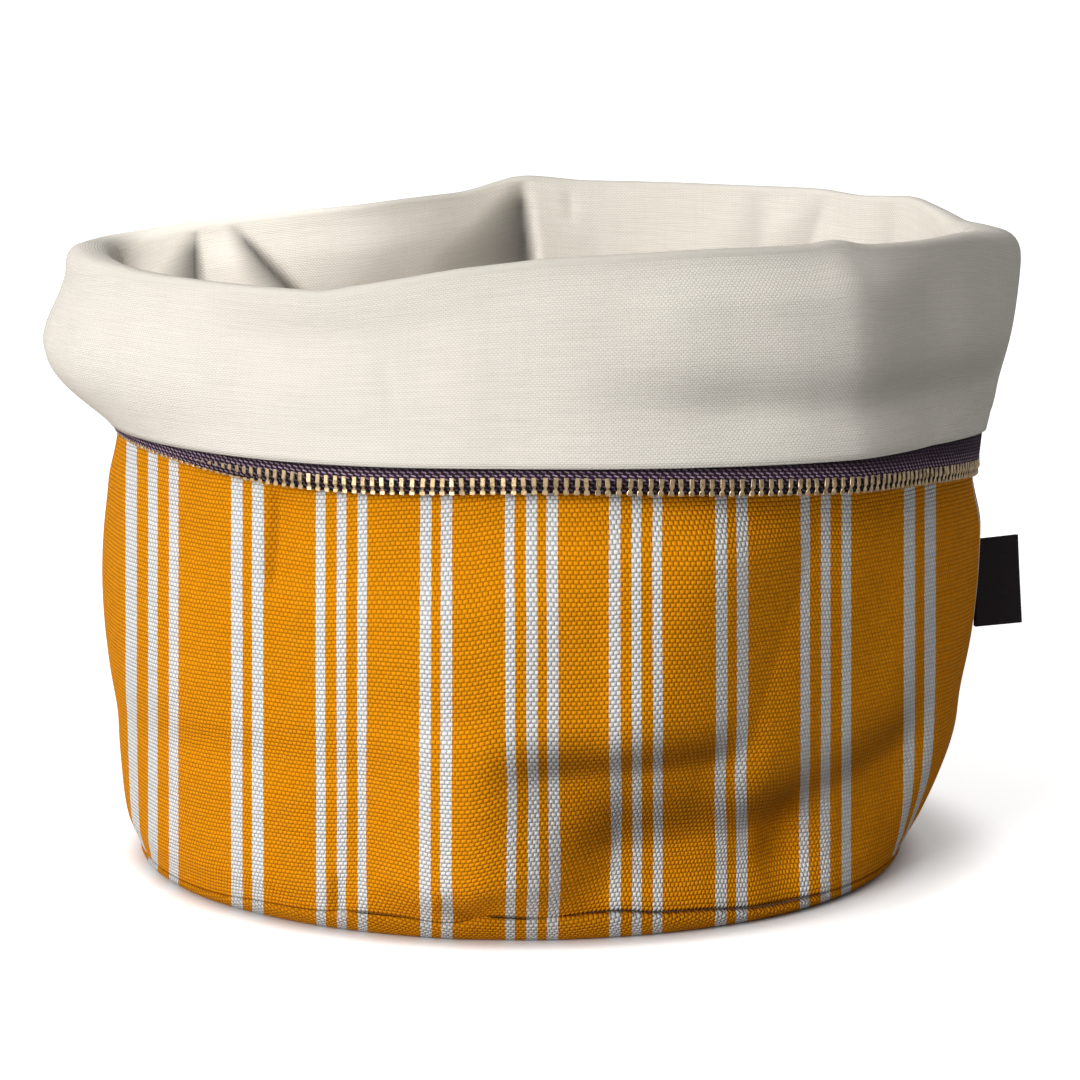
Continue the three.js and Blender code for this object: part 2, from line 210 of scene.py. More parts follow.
# Slight unevenness of the cloth: size, waves round the bag, and how far (radians) the waves turn for each
# millimetre up and at the start
Ripple = namedtuple("Ripple", "size waves climb start")
RIPPLES = [
    Ripple(0.22, 9, 0.055, 0.7),
    Ripple(0.16, 17, -0.081, 2.1),
    Ripple(0.14, 5, 0.143, 4.2),
    Ripple(0.10, 29, 0.031, 1.3),
]

# Pleats below the rim: how each slants and widens (degrees) and deepens for each millimetre down, with
# limits to both, the width of its step, how far the cloth beyond it stands in front, and how dark its painted
# shade is
Pleat = namedtuple("Pleat", "azimuth slant widen widest deepen deepest step lap shade")
PLEATS = [
    Pleat(-177, -0.06, 0.9, 17, 0.32, 7.5, 1.6, 5.0, 0.80),
    Pleat(-128.5, -0.55, 0.5, 8, 0.10, 1.2, 1.5, 0.4, 0.80),
    Pleat(-121.5, 0.0, 1.0, 14, 0.10, 1.2, 1.2, 0.4, 0.80),
    Pleat(134, 0.2, 0.4, 7, 0.14, 2.8, 2.0, 0.0, 0.15),
    Pleat(146, 0.0, 0.3, 6, 0.10, 2.0, 3.0, 0.0, 0.12),
    Pleat(121, 0.0, 0.3, 5, 0.08, 1.2, 3.0, 0.0, 0.08),
]
LAP_WIDTH = 9.0
PLEAT_FADE = 16.0
PLEAT_CURVE = 2.2
PLEAT_SHADE_START = 7.0
PLEAT_SHADE_CURVE = 1.4

# Creases from one point to another: half widths to the right and to the left of that way, and how dark the
# painted shade makes the cloth on the right
Crease = namedtuple("Crease", "azimuth height to_azimuth to_height depth right left shade")
WALL_CREASES = [
    Crease(32, 41, -9, 42, -6.0, 8, 16, 0.5),
    Crease(52, 22, -2, 21, -6.0, 12, 20, 0.5),
    Crease(70, 38, 34, 20, -4.0, 11, 18, 0.35),
    Crease(-34.5, 112, -34, 82, -1.8, 2.5, 10, 0.2),
    Crease(-66, 108, -36, 80, -0.9, 8, 8, 0.0),
    Crease(-25, 17, -26, 2, -1.0, 2.6, 2.6, 0.2),
    Crease(-11, 15, -4, 4, -1.6, 3.0, 4.0, 0.25),
    Crease(175.8, 163, 175.2, 153, 0.7, 1.6, 1.6, 0.0),
]
CUFF_CREASES = [
    Crease(98, 122.5, 0, 130, -2.6, 8, 5.5, 0.2),
    Crease(-19.6, 143, -16.6, 126, -0.3, 1.2, 1.2, 0.0),
]

# Corners of the cloth between two flatter stretches, from one point to another, and both stretches' widths
Corner = namedtuple("Corner", "azimuth height to_azimuth to_height rise right left")
WALL_CORNERS = [
    Corner(7, 34, 23, 122, 6.0, 30, 60),
    Corner(-11, 40, -11, 95, 4.0, 30, 30),
    Corner(-6, -25, -6, 62, 9.0, 30, 28),
]
CUFF_CORNERS = [
    Corner(39, 96, 36, 186, 5.5, 30, 80),
]
CORNER_ROUNDING = 4.0

# Share of a crease's or corner's length over which each of its ends fades
END_FADE = 0.25
# Makes the steepest part of a crease's side count as 1
CREASE_STEEPEST = math.sqrt(2.0 * math.e)

# Stripes, counted in units of the narrowest stripe: where the white ones start within a repeat
STRIPE_STARTS = (0, 2, 4, 10, 12, 18, 20, 22, 28, 30, 36, 38, 40)
STRIPE_REPEAT = 46
STRIPE_FIRST = -95.8
STRIPE_SPREAD = 0.12
STRIPE_RISE = 0.00019
STRIPE_LEVEL = 60.0
STRIPE_FLAT_ANGLE = 70.0
STRIPE_TURN_START = 66.0
STRIPE_TURN_END = 86.0
STRIPE_SIDE_WIDTH = 24.0
STRIPE_SIDE_CURVE = 3
STRIPE_WAVER = 0.35

# Zip
TAPE_TILT = 0.1
TAPE_INSET = 0.7
TAPE_TUCK = 2.5
TAPE_IN_TEETH = 0.5
TAPE_SHORTENING = 2.0
TAPE_ROW = 0.85
TAPE_STITCH = 1.7
TAPE_LEAN = 0.6
TAPE_TOP_SHADE = 0.7
TAPE_TOP_HEIGHT = 1.6
TAPE_GAP_SHADE = 0.8
TAPE_GAP_EDGE = 1.0
TAPE_GAP_BEHIND = 0.5
ToothTier = namedtuple("ToothTier", "height half_width half_depth")
TOOTH = [
    ToothTier(0.0, 0.35, 0.30),
    ToothTier(0.30, 0.68, 0.62),
    ToothTier(0.95, 0.68, 0.48),
    ToothTier(1.50, 0.30, 0.45),
    ToothTier(2.30, 0.60, 0.75),
    ToothTier(4.20, 0.55, 0.40),
]
TOOTH_HEIGHT = TOOTH[-1].height
TOOTH_CHAMFER = 0.2
TOOTH_SWAY = 0.05
TOOTH_SWAY_SEED = 7

# Label
LABEL_GAP = 0.5
LABEL_HEIGHT = 69.2
LABEL_SKEW = 0.06
LABEL_BACK = 0.2
LABEL_CLEARANCE = 1.7
LABEL_WAVE = 0.5
LABEL_WAVE_TURN = 2.2
LABEL_WAVE_START = 0.2

# Meshes. A section's stops climb the wall to the rim, turn over it and come down the cuff.
RIM_START = 1.0
CUFF_START = 2.0
CUFF_END = 3.0
CANVAS_END = 2.93
STOP_LENGTHS = (0.0, 155.0, 172.0, 217.0)
FOOT_SHARE = 0.04
FOOT_STOP = 0.02
WALL_SHARE = 0.70
RIM_SHARE = 0.80
HALVES = {"front": (-90.0, 90.0), "back": (90.0, 270.0)}
COLUMNS = 280
WALL_ROWS = 140
TAPE_ROWS = 12
LABEL_COLUMNS = 60
LABEL_ROWS = 40
SLOPE_TURN = 0.3
SLOPE_STOP = 0.004
TOOTH_SLOPE_TURN = 0.5

# Surfaces: roughness, shine, and the strength and depth in metres of the relief
Surface = namedtuple("Surface", "roughness shine strength depth")
CANVAS = Surface(0.9, 0.1, 0.9, 0.0005)
LINING = Surface(0.92, 0.1, 0.5, 0.0003)
TAPE = Surface(0.8, 0.15, 0.8, 0.0002)
BRASS = Surface(0.3, 0.5, 0.15, 0.0001)
RIBBON = Surface(0.6, 0.25, 0.3, 0.0001)
FLOOR = Surface(0.9, 0.5, 0.0, 0.0)

# Tones: how a value swings from its start
Tone = namedtuple("Tone", "swing start")
CANVAS_GAPS = Tone(-0.3, 1.0)
CANVAS_THREADS = Tone(0.24, 0.86)
LINING_GAPS = Tone(-0.16, 1.02)
LINING_SLUBS = Tone(0.22, 0.86)
LINING_UPRIGHTS = Tone(0.06, 0.97)
RIBBON_THREADS = Tone(0.6, 0.7)
BRASS_ROUGHNESS = Tone(0.2, 0.32)

# Grains: changes for each millimetre across and along, fineness and roughness
Grain = namedtuple("Grain", "across along detail roughness")
WEAVE_STREAKS = Grain(0.03, 0.7, 1.0, 0.5)
STRIPE_EDGES = Grain(0.9, 0.9, 1.0, 0.5)
SLUBS = Grain(0.06, 1.7, 3.0, 0.6)
UPRIGHTS = Grain(1.3, 0.05, 2.0, 0.6)
LINING_PATCHES = Grain(0.035, 0.035, 2.0, 0.5)
TAPE_PATCHES = Grain(0.9, 0.9, 2.0, 0.5)

# Weave: how fast the threads wander, where a gap ends, and the share of single threads in the shade
THREAD_WANDER = 0.23
GAP_RAMP = (0.0, 0.5)
SINGLE_SHARE = 0.4
CANVAS_UNEVENNESS = 0.35
LINING_UNEVENNESS = 0.5
LINING_WEAVE_RELIEF = 0.8
LINING_WARM_RAMP = (0.35, 0.65)
RIBBON_UNEVENNESS = 0.3
RIBBON_PITCH = 0.28

# Tape's flecks and the brass
FLECK_WIDTH_RAMP = (0.12, 0.32)
FLECK_LENGTH_RAMP = (0.26, 0.40)
FLECK_PATCH_RAMP = (0.15, 0.65)
FLECK_HEIGHT_RAMP = (TOOTH_HEIGHT + 3.5, TOOTH_HEIGHT + 0.5)
FLECK_TOP_SHARE = 0.3
BRASS_METALLIC = 0.85
TARNISH_SCALE = 900.0
TARNISH_DETAIL = 3.0
TARNISH_RAMP = (0.35, 0.75)
TARNISH_SHARE = 0.4
SCRATCH_SCALE = 2500.0

# Stage
WHITE = (1.0, 1.0, 1.0, 1.0)
BLACK = (0.0, 0.0, 0.0, 1.0)
CAMERA_PLACE = (5.0, -1000.0, 255.0)
CAMERA_PITCH = 9.9
CAMERA_LENS = 130.6
CAMERA_SENSOR = 36.0
CAMERA_NEAR = 50.0
CAMERA_FAR = 50000.0
KEY_AZIMUTH = -37.0
KEY_HEIGHT = 20.0
MOUTH_AIM = (-86.0, 61.0, 150.0)
MOUTH_AZIMUTH = 72.0
MOUTH_HEIGHT = 36.0
MOUTH_DISTANCE = 1200.0
MOUTH_LAMP_RADIUS = 12.0
MOUTH_SOFT_EDGE = 1.0
SKY_RAMP = (0.25, 0.85)
SIDE_RAMP = (-0.1, -0.95)
FLOOR_HALF = 12000.0

# Painted shadow in the floor's glow near the bag: middle of each darker spot, its radii and the glow that it
# leaves
FloorShade = namedtuple("FloorShade", "middle inner outer glow")
FLOOR_SHADES = [
    FloorShade((20.0, 5.0, 0.0), 86.0, 112.0, 0.35),
    FloorShade((0.0, 0.0, 0.0), 96.0, 108.0, 0.0),
]


# Settings that a user may change

def size_setting(name, description, default, least):
    return FloatProperty(name=name, description=description, default=default, min=least, unit="LENGTH")


def colour_setting(name, description, default):
    return FloatVectorProperty(
        name=name, description=description, default=default, min=0.0, max=1.0, subtype="COLOR")


def light_setting(name, description, default, **kind):
    return FloatProperty(name=name, description=description, default=default, min=0.0, **kind)


class BreadBagCloth(PropertyGroup):
    canvas_thickness: size_setting("Canvas Thickness", "Thickness of the striped canvas", 0.0008, 0.0004)
    lining_thickness: size_setting("Lining Thickness", "Thickness of the cream lining", 0.0005, 0.0002)
    stripe_width: size_setting("Stripe Width", "Width of one white stripe", 0.00243, 0.0005)
    warp_pitch: size_setting("Warp Pitch", "Distance between the canvas's upright threads", 0.00063, 0.0002)
    weft_pitch: size_setting("Weft Pitch", "Distance between the canvas's level threads", 0.00104, 0.0002)
    lining_pitch: size_setting("Lining Pitch", "Distance between the lining's threads", 0.0005, 0.0002)
    canvas_colour: colour_setting("Canvas Colour", "Ground colour of the canvas", (0.93, 0.33, 0.002))
    stripe_colour: colour_setting("Stripe Colour", "Colour of the stripes", (0.90, 0.90, 0.89))
    lining_colour: colour_setting("Lining Colour", "Colour of the undyed lining", (0.88, 0.83, 0.74))
    lining_warm_colour: colour_setting(
        "Lining Warm Colour", "Colour of the lining's warmer patches", (0.89, 0.83, 0.75))


class BreadBagZip(PropertyGroup):
    tooth_pitch: size_setting("Tooth Pitch", "Distance from tooth to tooth", 0.0024, 0.001)
    tape_thickness: size_setting("Tape Thickness", "Thickness of the zip's woven tape", 0.0007, 0.0003)
    tape_colour: colour_setting("Tape Colour", "Colour of the tape", (0.026, 0.012, 0.025))
    fleck_colour: colour_setting("Fleck Colour", "Colour of the tape's paler threads", (0.52, 0.37, 0.48))
    metal_colour: colour_setting("Metal Colour", "Colour of the brass teeth", (0.90, 0.66, 0.38))


class BreadBagLabel(PropertyGroup):
    width: size_setting("Width", "Width of the ribbon, along the seam", 0.023, 0.005)
    reach: size_setting("Reach", "How far the folded ribbon stands out of the seam", 0.0122, 0.004)
    thickness: size_setting("Thickness", "Thickness of one layer of ribbon", 0.0006, 0.0002)
    colour: colour_setting("Colour", "Colour of the ribbon", (0.016, 0.011, 0.014))


class BreadBagStage(PropertyGroup):
    key_light: light_setting("Key Light", "Strength of the soft light from the left", 2.4)
    key_softness: light_setting(
        "Key Softness", "Angle under which the bag sees the key light", math.radians(30.0), subtype="ANGLE")
    top_light: light_setting("Top Light", "Strength of the even light from above", 0.5)
    side_light: light_setting("Side Light", "Strength of the broad light from the left", 0.5)
    mouth_light: light_setting(
        "Mouth Light", "Power of the narrow light into the open mouth", 60.0, unit="POWER")
    mouth_cone: light_setting(
        "Mouth Cone", "Angle of the narrow light's cone", math.radians(6.0), subtype="ANGLE")
    room_light: light_setting("Room Light", "Strength of the even light from all round", 0.06)
    floor_colour: colour_setting(
        "Floor Colour", "Colour of the plain floor as the camera sees it", (0.9, 0.9, 0.9))
    floor_bounce: colour_setting(
        "Floor Bounce", "Colour of the floor as it lights the bag from below", (0.55, 0.55, 0.55))
    floor_glow: colour_setting(
        "Floor Glow", "Light that makes the floor a white ground in the picture", (0.7, 0.7, 0.7))


# Form of the cloth

def column(rows, name):
    return np.array([getattr(row, name) for row in rows], float)


def ease(value, start, end):
    share = np.clip((value - start) / (end - start), 0.0, 1.0)
    return share * share * (3.0 - 2.0 * share)


def fade(value, start, end):
    return 1.0 - ease(value, start, end)


def mix(start, end, share):
    return start + (end - start) * share


def pair(first, second):
    return np.stack([first, second], axis=-1)


def arc(azimuth):
    return ARC_RADIUS * np.radians(azimuth)


def turn_from(start, azimuth):
    """Shortest way round from one azimuth to others."""
    return np.mod(azimuth - start + 180.0, 360.0) - 180.0


def along(places, values, at):
    """Smooth curve through values at places, read at each of the given places."""
    i = np.clip(np.searchsorted(places, at, side="right") - 1, 1, len(places) - 3)
    span = places[i + 1] - places[i]
    slope_in = (values[i + 1] - values[i - 1]) / (places[i + 1] - places[i - 1])
    slope_out = (values[i + 2] - values[i]) / (places[i + 2] - places[i])
    s = (at - places[i]) / span
    rest = 1.0 - s
    return (
        values[i] * (1 + 2 * s) * rest * rest
        + values[i + 1] * (3 - 2 * s) * s * s
        + span * s * rest * (slope_in * rest - slope_out * s)
    )


def around_table(rows, name, azimuth):
    """A column of a table that closes on itself, at each azimuth."""
    turns = column(rows, "azimuth")
    values = column(rows, name)
    places = np.concatenate([turns[-2:] - 360.0, turns, turns + 360.0])
    return along(places, np.concatenate([values[-2:], values, values]), azimuth)


def cuff_at(azimuth, name):
    return around_table(CUFF, name, azimuth)


def seam_height(azimuth):
    return around_table(SEAM, "height", azimuth)


def rim_top(azimuth):
    """Height of the rim, straight from corner to corner and rounded a little at each."""
    turns = column(RIM, "azimuth")
    heights = column(RIM, "height")
    return np.mean([
        np.interp(turn_from(0.0, azimuth + aside), turns, heights, period=360.0)
        for aside in np.linspace(-RIM_CORNER, RIM_CORNER, RIM_CORNER_STEPS)
    ], axis=0)


def fold_depth(folds, azimuth, height):
    depth = np.zeros_like(azimuth)
    for fold in folds:
        turn = turn_from(fold.azimuth, azimuth)
        up = (height - fold.height - fold.tilt * turn) / fold.half_height
        depth += fold.depth * np.exp(-((turn / fold.half_angle) ** 2) - up**2)
    return depth


def ripple(azimuth, height):
    size = np.zeros_like(azimuth)
    for wave in RIPPLES:
        size += wave.size * np.sin(wave.waves * np.radians(azimuth) + wave.climb * height + wave.start)
    return size


def beside(line, azimuth, height):
    """How far a crease or corner stays between its faded ends, and distance to its right as it rises."""
    reach = ARC_RADIUS * math.radians(line.to_azimuth - line.azimuth)
    rise = line.to_height - line.height
    length = math.hypot(reach, rise)
    aside = arc(turn_from(line.azimuth, azimuth))
    up = height - line.height
    share = (aside * reach + up * rise) / length**2
    window = ease(share, 0.0, END_FADE) * fade(share, 1.0 - END_FADE, 1.0)
    return window, (aside * rise - up * reach) / length


def crease_shape(crease, azimuth, height):
    """How far a crease stays between its faded ends, and distance to its right in half widths."""
    window, across = beside(crease, azimuth, height)
    return window, across / np.where(across > 0.0, crease.right, crease.left)


def crease_depth(creases, azimuth, height):
    depth = np.zeros_like(azimuth)
    for crease in creases:
        window, across = crease_shape(crease, azimuth, height)
        depth += crease.depth * window * np.exp(-(across**2))
    return depth


def crease_shade(creases, azimuth, height):
    """How little light reaches the steepest part of each crease's right side."""
    shade = np.zeros_like(azimuth)
    for crease in creases:
        window, across = crease_shape(crease, azimuth, height)
        steepness = CREASE_STEEPEST * across * np.exp(-(across**2))
        shade = np.maximum(shade, crease.shade * window * np.maximum(steepness, 0.0))
    return shade


def corner_rise(corners, azimuth, height):
    rise = np.zeros_like(azimuth)
    for corner in corners:
        window, across = beside(corner, azimuth, height)
        away = np.hypot(across, CORNER_ROUNDING) - CORNER_ROUNDING
        half = np.where(across > 0.0, corner.right, corner.left)
        rise += corner.rise * window * np.maximum(1.0 - away / half, 0.0)
    return rise


def pleat_shape(pleat, azimuth, below):
    """Turn from a pleat's edge, and how far its hollow still reaches there."""
    turn = turn_from(pleat.azimuth + pleat.slant * below, azimuth)
    width = np.minimum(pleat.widen * below, pleat.widest) + pleat.step
    return turn, np.clip(1.0 - turn / width, 0.0, 1.0)


def pleat_depth(azimuth, below):
    depth = np.zeros_like(azimuth)
    for pleat in PLEATS:
        turn, hollow = pleat_shape(pleat, azimuth, below)
        grown = np.minimum(pleat.deepen * below / pleat.deepest, 1.0)
        lap = pleat.lap * np.clip(1.0 + (turn + pleat.step) / LAP_WIDTH, 0.0, 1.0)
        over = mix(pleat.deepest, -lap, np.clip(-turn / pleat.step, 0.0, 1.0))
        depth += grown * np.where(turn < 0.0, over, pleat.deepest * hollow**PLEAT_CURVE)
    return depth


def pleat_shade(azimuth, below):
    """How little light reaches into the pleats."""
    shade = np.zeros_like(azimuth)
    for pleat in PLEATS:
        turn, hollow = pleat_shape(pleat, azimuth, below)
        grown = np.minimum(below / PLEAT_SHADE_START, 1.0)
        over = np.clip(1.0 + turn / pleat.step, 0.0, 1.0)
        dark = pleat.shade * grown * np.where(turn < 0.0, over, hollow**PLEAT_SHADE_CURVE)
        shade = np.maximum(shade, dark)
    return shade


def side_seam_dip(azimuth):
    """The furrow along the two side seams."""
    away = arc(np.abs(np.mod(azimuth, 180.0) - 90.0))
    return -SIDE_SEAM_DIP * np.exp(-((away / SIDE_SEAM_HALF_WIDTH) ** 2))


def wall_radius(azimuth, height):
    """Radius of the line between canvas and lining on the wall."""
    top = rim_top(azimuth)
    fold = cuff_at(azimuth, "fold")
    rim_foot = top - fold
    zip_end = cuff_at(azimuth, "drop") - cuff_at(azimuth, "zip")
    waist_end = zip_end + WAIST_ABOVE_ZIP
    plain = along(column(WALL, "height"), column(WALL, "radius"), np.clip(height, WALL_FOOT, WALL_TOP))
    waist = mix(plain, cuff_at(azimuth, "waist"), ease(height, zip_end - WAIST_BELOW_ZIP, waist_end))
    upper = mix(waist, cuff_at(azimuth, "rim") - fold, ease(height, waist_end, rim_foot))

    seam = seam_height(azimuth)
    calm = ease(height, seam, seam + CALM_ABOVE_SEAM) * fade(height, rim_foot - CALM_BELOW_RIM, rim_foot)
    folds = (fold_depth(WALL_FOLDS, azimuth, height) + ripple(azimuth, height)) * calm
    below_zip = fade(height, zip_end - CALM_BELOW_ZIP, zip_end)
    corners = corner_rise(WALL_CORNERS, azimuth, height) * calm * below_zip
    creases = crease_depth(WALL_CREASES, azimuth, height) + corners
    above_zip = ease(height, waist_end, waist_end + PLEAT_FADE)
    pleats = pleat_depth(azimuth, np.maximum(0.0, top - height)) * above_zip
    roll = -SEAM_ROLL * fade(height, seam, seam + SEAM_ROLL_HEIGHT)
    return upper + folds + creases + pleats + roll + side_seam_dip(azimuth)


def section(azimuth, stop):
    """Radius and height at the stops of an upright section."""
    rim = cuff_at(azimuth, "rim")
    half = cuff_at(azimuth, "fold")
    slope = cuff_at(azimuth, "slope")
    foot = rim_top(azimuth) - half
    drop = cuff_at(azimuth, "drop")
    dip = side_seam_dip(azimuth)

    wall_height = mix(seam_height(azimuth), foot, np.clip(stop, 0.0, RIM_START))
    wall = wall_radius(azimuth, wall_height)

    turn = np.pi * np.clip(stop - RIM_START, 0.0, 1.0)
    out = -np.sign(np.cos(turn)) * np.abs(np.cos(turn)) ** FOLD_SQUARENESS
    fold = rim + (half - dip) * out
    fold_height = foot + half * np.abs(np.sin(turn)) ** FOLD_SQUARENESS - slope * (1.0 + out) / 2

    down = np.clip(stop - CUFF_START, 0.0, None)
    cuff_top = foot - slope
    cuff_height = mix(cuff_top, drop, down)
    puff = cuff_at(azimuth, "puff") * np.maximum(np.sin(np.pi * down**PUFF_LOW), 0.0) ** PUFF_ROUND
    calm_rim = fade(cuff_height, cuff_top - CALM_BELOW_RIM, cuff_top)
    calm = calm_rim * ease(cuff_height, drop, drop + CALM_ABOVE_HEM)
    folds = (fold_depth(CUFF_FOLDS, azimuth, cuff_height) + ripple(azimuth, cuff_height)) * calm
    corners = corner_rise(CUFF_CORNERS, azimuth, cuff_height) * calm_rim
    creases = crease_depth(CUFF_CREASES, azimuth, cuff_height) + corners
    cuff = mix(rim + half, cuff_at(azimuth, "edge"), down**CUFF_HANG) + puff + folds + creases - dip

    stretches = [stop <= RIM_START, stop <= CUFF_START]
    radius = np.select(stretches, [wall, fold], cuff)
    return radius, np.select(stretches, [wall_height, fold_height], cuff_height)


def axis_at(height):
    return LEAN * ease(height, 0.0, LEAN_HEIGHT)


def around(azimuth, radius, height):
    """Points at azimuths, radii and heights about an axis that leans to the right as it rises."""
    turn = np.radians(azimuth)
    return np.stack([axis_at(height) + radius * np.sin(turn), -radius * np.cos(turn), height], axis=-1)


def on_panel(azimuth, stop):
    return around(azimuth, *section(azimuth, stop))


def on_tape(azimuth, hang, behind=0.0):
    """Points so far below the hem, on the tape's middle plane or behind it."""
    radius, height = section(azimuth, np.full_like(azimuth, CUFF_END))
    return around(azimuth, radius - TAPE_INSET - behind - TAPE_TILT * hang, height - hang)


def on_teeth(azimuth, hang):
    return on_tape(azimuth, hang, cuff_at(azimuth, "behind"))


def outward_on_panel(azimuth, stop):
    """Unit vectors square to the wall and the cuff, towards the canvas."""
    sideways = on_panel(azimuth + SLOPE_TURN, stop) - on_panel(azimuth - SLOPE_TURN, stop)
    onward = on_panel(azimuth, stop + SLOPE_STOP) - on_panel(azimuth, stop - SLOPE_STOP)
    normal = np.cross(sideways, onward)
    return normal / np.linalg.norm(normal, axis=-1, keepdims=True)


def stripe_spread(back, height):
    """How far the stripes spread with distance from the viewer, so that they look upright and even."""
    return 1.0 + STRIPE_SPREAD * (1.0 + back / ARC_RADIUS) - STRIPE_RISE * (height - STRIPE_LEVEL)


def stripes_in_front(points, azimuth):
    """Where points of the front lie across the stripes, which look straight and follow the side seams."""
    turn = turn_from(0.0, azimuth)
    side = np.where(turn < 0.0, -1.0, 1.0)
    outward = np.abs(turn)
    axis = axis_at(points[:, 2])
    radius = np.hypot(points[:, 0] - axis, points[:, 1])
    lean = side * (axis - LEAN)
    angle = np.radians(outward)
    straight = (radius * np.sin(angle) + lean) / stripe_spread(-radius * np.cos(angle), points[:, 2])

    flat = np.radians(np.minimum(outward, STRIPE_FLAT_ANGLE))
    beyond = np.maximum(outward - STRIPE_FLAT_ANGLE, 0.0) / (90.0 - STRIPE_FLAT_ANGLE)
    by_seam = ARC_RADIUS * np.sin(flat) / stripe_spread(-ARC_RADIUS * np.cos(flat), STRIPE_LEVEL)
    by_seam = by_seam + STRIPE_SIDE_WIDTH * beyond**STRIPE_SIDE_CURVE
    return side * mix(straight, by_seam, ease(outward, STRIPE_TURN_START, STRIPE_TURN_END))


def stripes_behind(azimuth):
    """Where points of the back lie across the stripes, which are evenly spread there."""
    return arc(turn_from(180.0, azimuth))


# Meshes and objects

def mesh_from(bm, name):
    mesh = bpy.data.meshes.new(name)
    bm.to_mesh(mesh)
    bm.free()
    return mesh


def points_of(mesh):
    points = np.empty(len(mesh.vertices) * 3)
    mesh.vertices.foreach_get("co", points)
    return points.reshape(-1, 3)


def shape_mesh(mesh, points, maps):
    """Moves a mesh's corners to points in millimetres, gives it UV maps and makes it smooth."""
    mesh.vertices.foreach_set("co", (points * MM).astype(np.float32).ravel())
    corners = np.empty(len(mesh.loops), np.int32)
    mesh.loops.foreach_get("vertex_index", corners)
    for name, values in maps.items():
        layer = mesh.uv_layers.new(name=name)
        layer.uv.foreach_set("vector", values[corners].astype(np.float32).ravel())
    mesh.polygons.foreach_set("use_smooth", np.ones(len(mesh.polygons), bool))
    mesh.update()
    return mesh


def grid_sheet(name, columns, rows, place):
    """A mesh from a flat grid. place() turns shares across and along the sheet into points and UV maps."""
    bm = bmesh.new()
    bmesh.ops.create_grid(bm, x_segments=columns, y_segments=rows, size=0.5)
    mesh = mesh_from(bm, name)
    flat = points_of(mesh)
    return shape_mesh(mesh, *place(flat[:, 0] + 0.5, flat[:, 1] + 0.5))


def wall_sheet(name, half, middle, end, maps):
    """Half of the wall and the cuff, so far towards the canvas from the line between the layers."""
    def place(across, up):
        azimuth = mix(*HALVES[half], across)
        stop = np.interp(up, [0.0, FOOT_SHARE, WALL_SHARE, RIM_SHARE, 1.0],
                         [0.0, FOOT_STOP, RIM_START, CUFF_START, end])
        points = on_panel(azimuth, stop) + middle * outward_on_panel(azimuth, stop)
        return points, maps(half, points, azimuth, stop)

    return grid_sheet(name, COLUMNS, WALL_ROWS, place)


def length_up(stop):
    return np.interp(stop, range(len(STOP_LENGTHS)), STOP_LENGTHS)


def canvas_maps(half, points, azimuth, stop):
    """Stripes, threads, and the shade in the creases and along the seam."""
    stripe = stripes_in_front(points, azimuth) if half == "front" else stripes_behind(azimuth)
    creases = crease_shade(WALL_CREASES, azimuth, points[:, 2]) * (stop < RIM_START)
    seam = SEAM_SHADE * fade(points[:, 2] - seam_height(azimuth), 0.0, SEAM_SHADE_HEIGHT)
    shade = np.maximum(creases, seam)
    up = length_up(stop)
    return {"stripe": pair(stripe, up), "weave": pair(arc(azimuth), up), "shade": pair(shade, shade)}


def lining_maps(_, points, azimuth, stop):
    """Threads, and the shade in the pleats and in the creases of the cuff."""
    below = np.where(stop < RIM_START, rim_top(azimuth) - points[:, 2], 0.0)
    creases = crease_shade(CUFF_CREASES, azimuth, points[:, 2]) * (stop > CUFF_START)
    shade = np.maximum(pleat_shade(azimuth, np.maximum(below, 0.0)), creases)
    return {"weave": pair(arc(azimuth), length_up(stop)), "shade": pair(shade, shade)}


def base_mesh(name, depth):
    """A disc whose edge turns up to the wandering seam, at a depth inside the canvas's outer face."""
    edge = BASE_SEAM_RADIUS - depth
    profile = [(radius, 0.0) for radius in BASE_RINGS]
    for step in range(1, BASE_TURN_STEPS + 1):
        turn = math.pi / 2 * step / BASE_TURN_STEPS
        profile.append((mix(BASE_FLAT_RADIUS, edge, math.sin(turn)), 1.0 - math.cos(turn)))
    profile.append((edge - SEAM_ROLL, 1.0 + BASE_LIP))
    bm = bmesh.new()
    corners = [bm.verts.new((radius, 0.0, up)) for radius, up in profile]
    lines = [bm.edges.new(ends) for ends in zip(corners, corners[1:])]
    bmesh.ops.spin(bm, geom=corners + lines, cent=(0, 0, 0), axis=(0, 0, 1), angle=2 * math.pi,
                   steps=BASE_STEPS, use_merge=True)
    bmesh.ops.remove_doubles(bm, verts=bm.verts, dist=POLE_MERGE)
    bmesh.ops.recalc_face_normals(bm, faces=bm.faces)
    mesh = mesh_from(bm, name)

    points = points_of(mesh)
    x, y, share = points.T
    radius = np.hypot(x, y)
    lip = np.maximum(share - 1.0, 0.0)
    height = depth + np.minimum(share, 1.0) * (seam_height(np.degrees(np.arctan2(x, -y))) - depth) + lip
    shade = BASE_EDGE_SHADE * ease(radius, BASE_FLAT_RADIUS, edge)
    shade = np.where(lip > BASE_LIP / 2, SEAM_SHADE, shade)
    unrolled = (radius + height) / np.maximum(radius, POLE_MERGE)
    return shape_mesh(mesh, np.stack([x, y, height], axis=-1), {
        "stripe": pair((x - LEAN) / stripe_spread(-np.abs(y), height), y),
        "weave": pair(x * unrolled, y * unrolled),
        "shade": pair(shade, shade),
    })


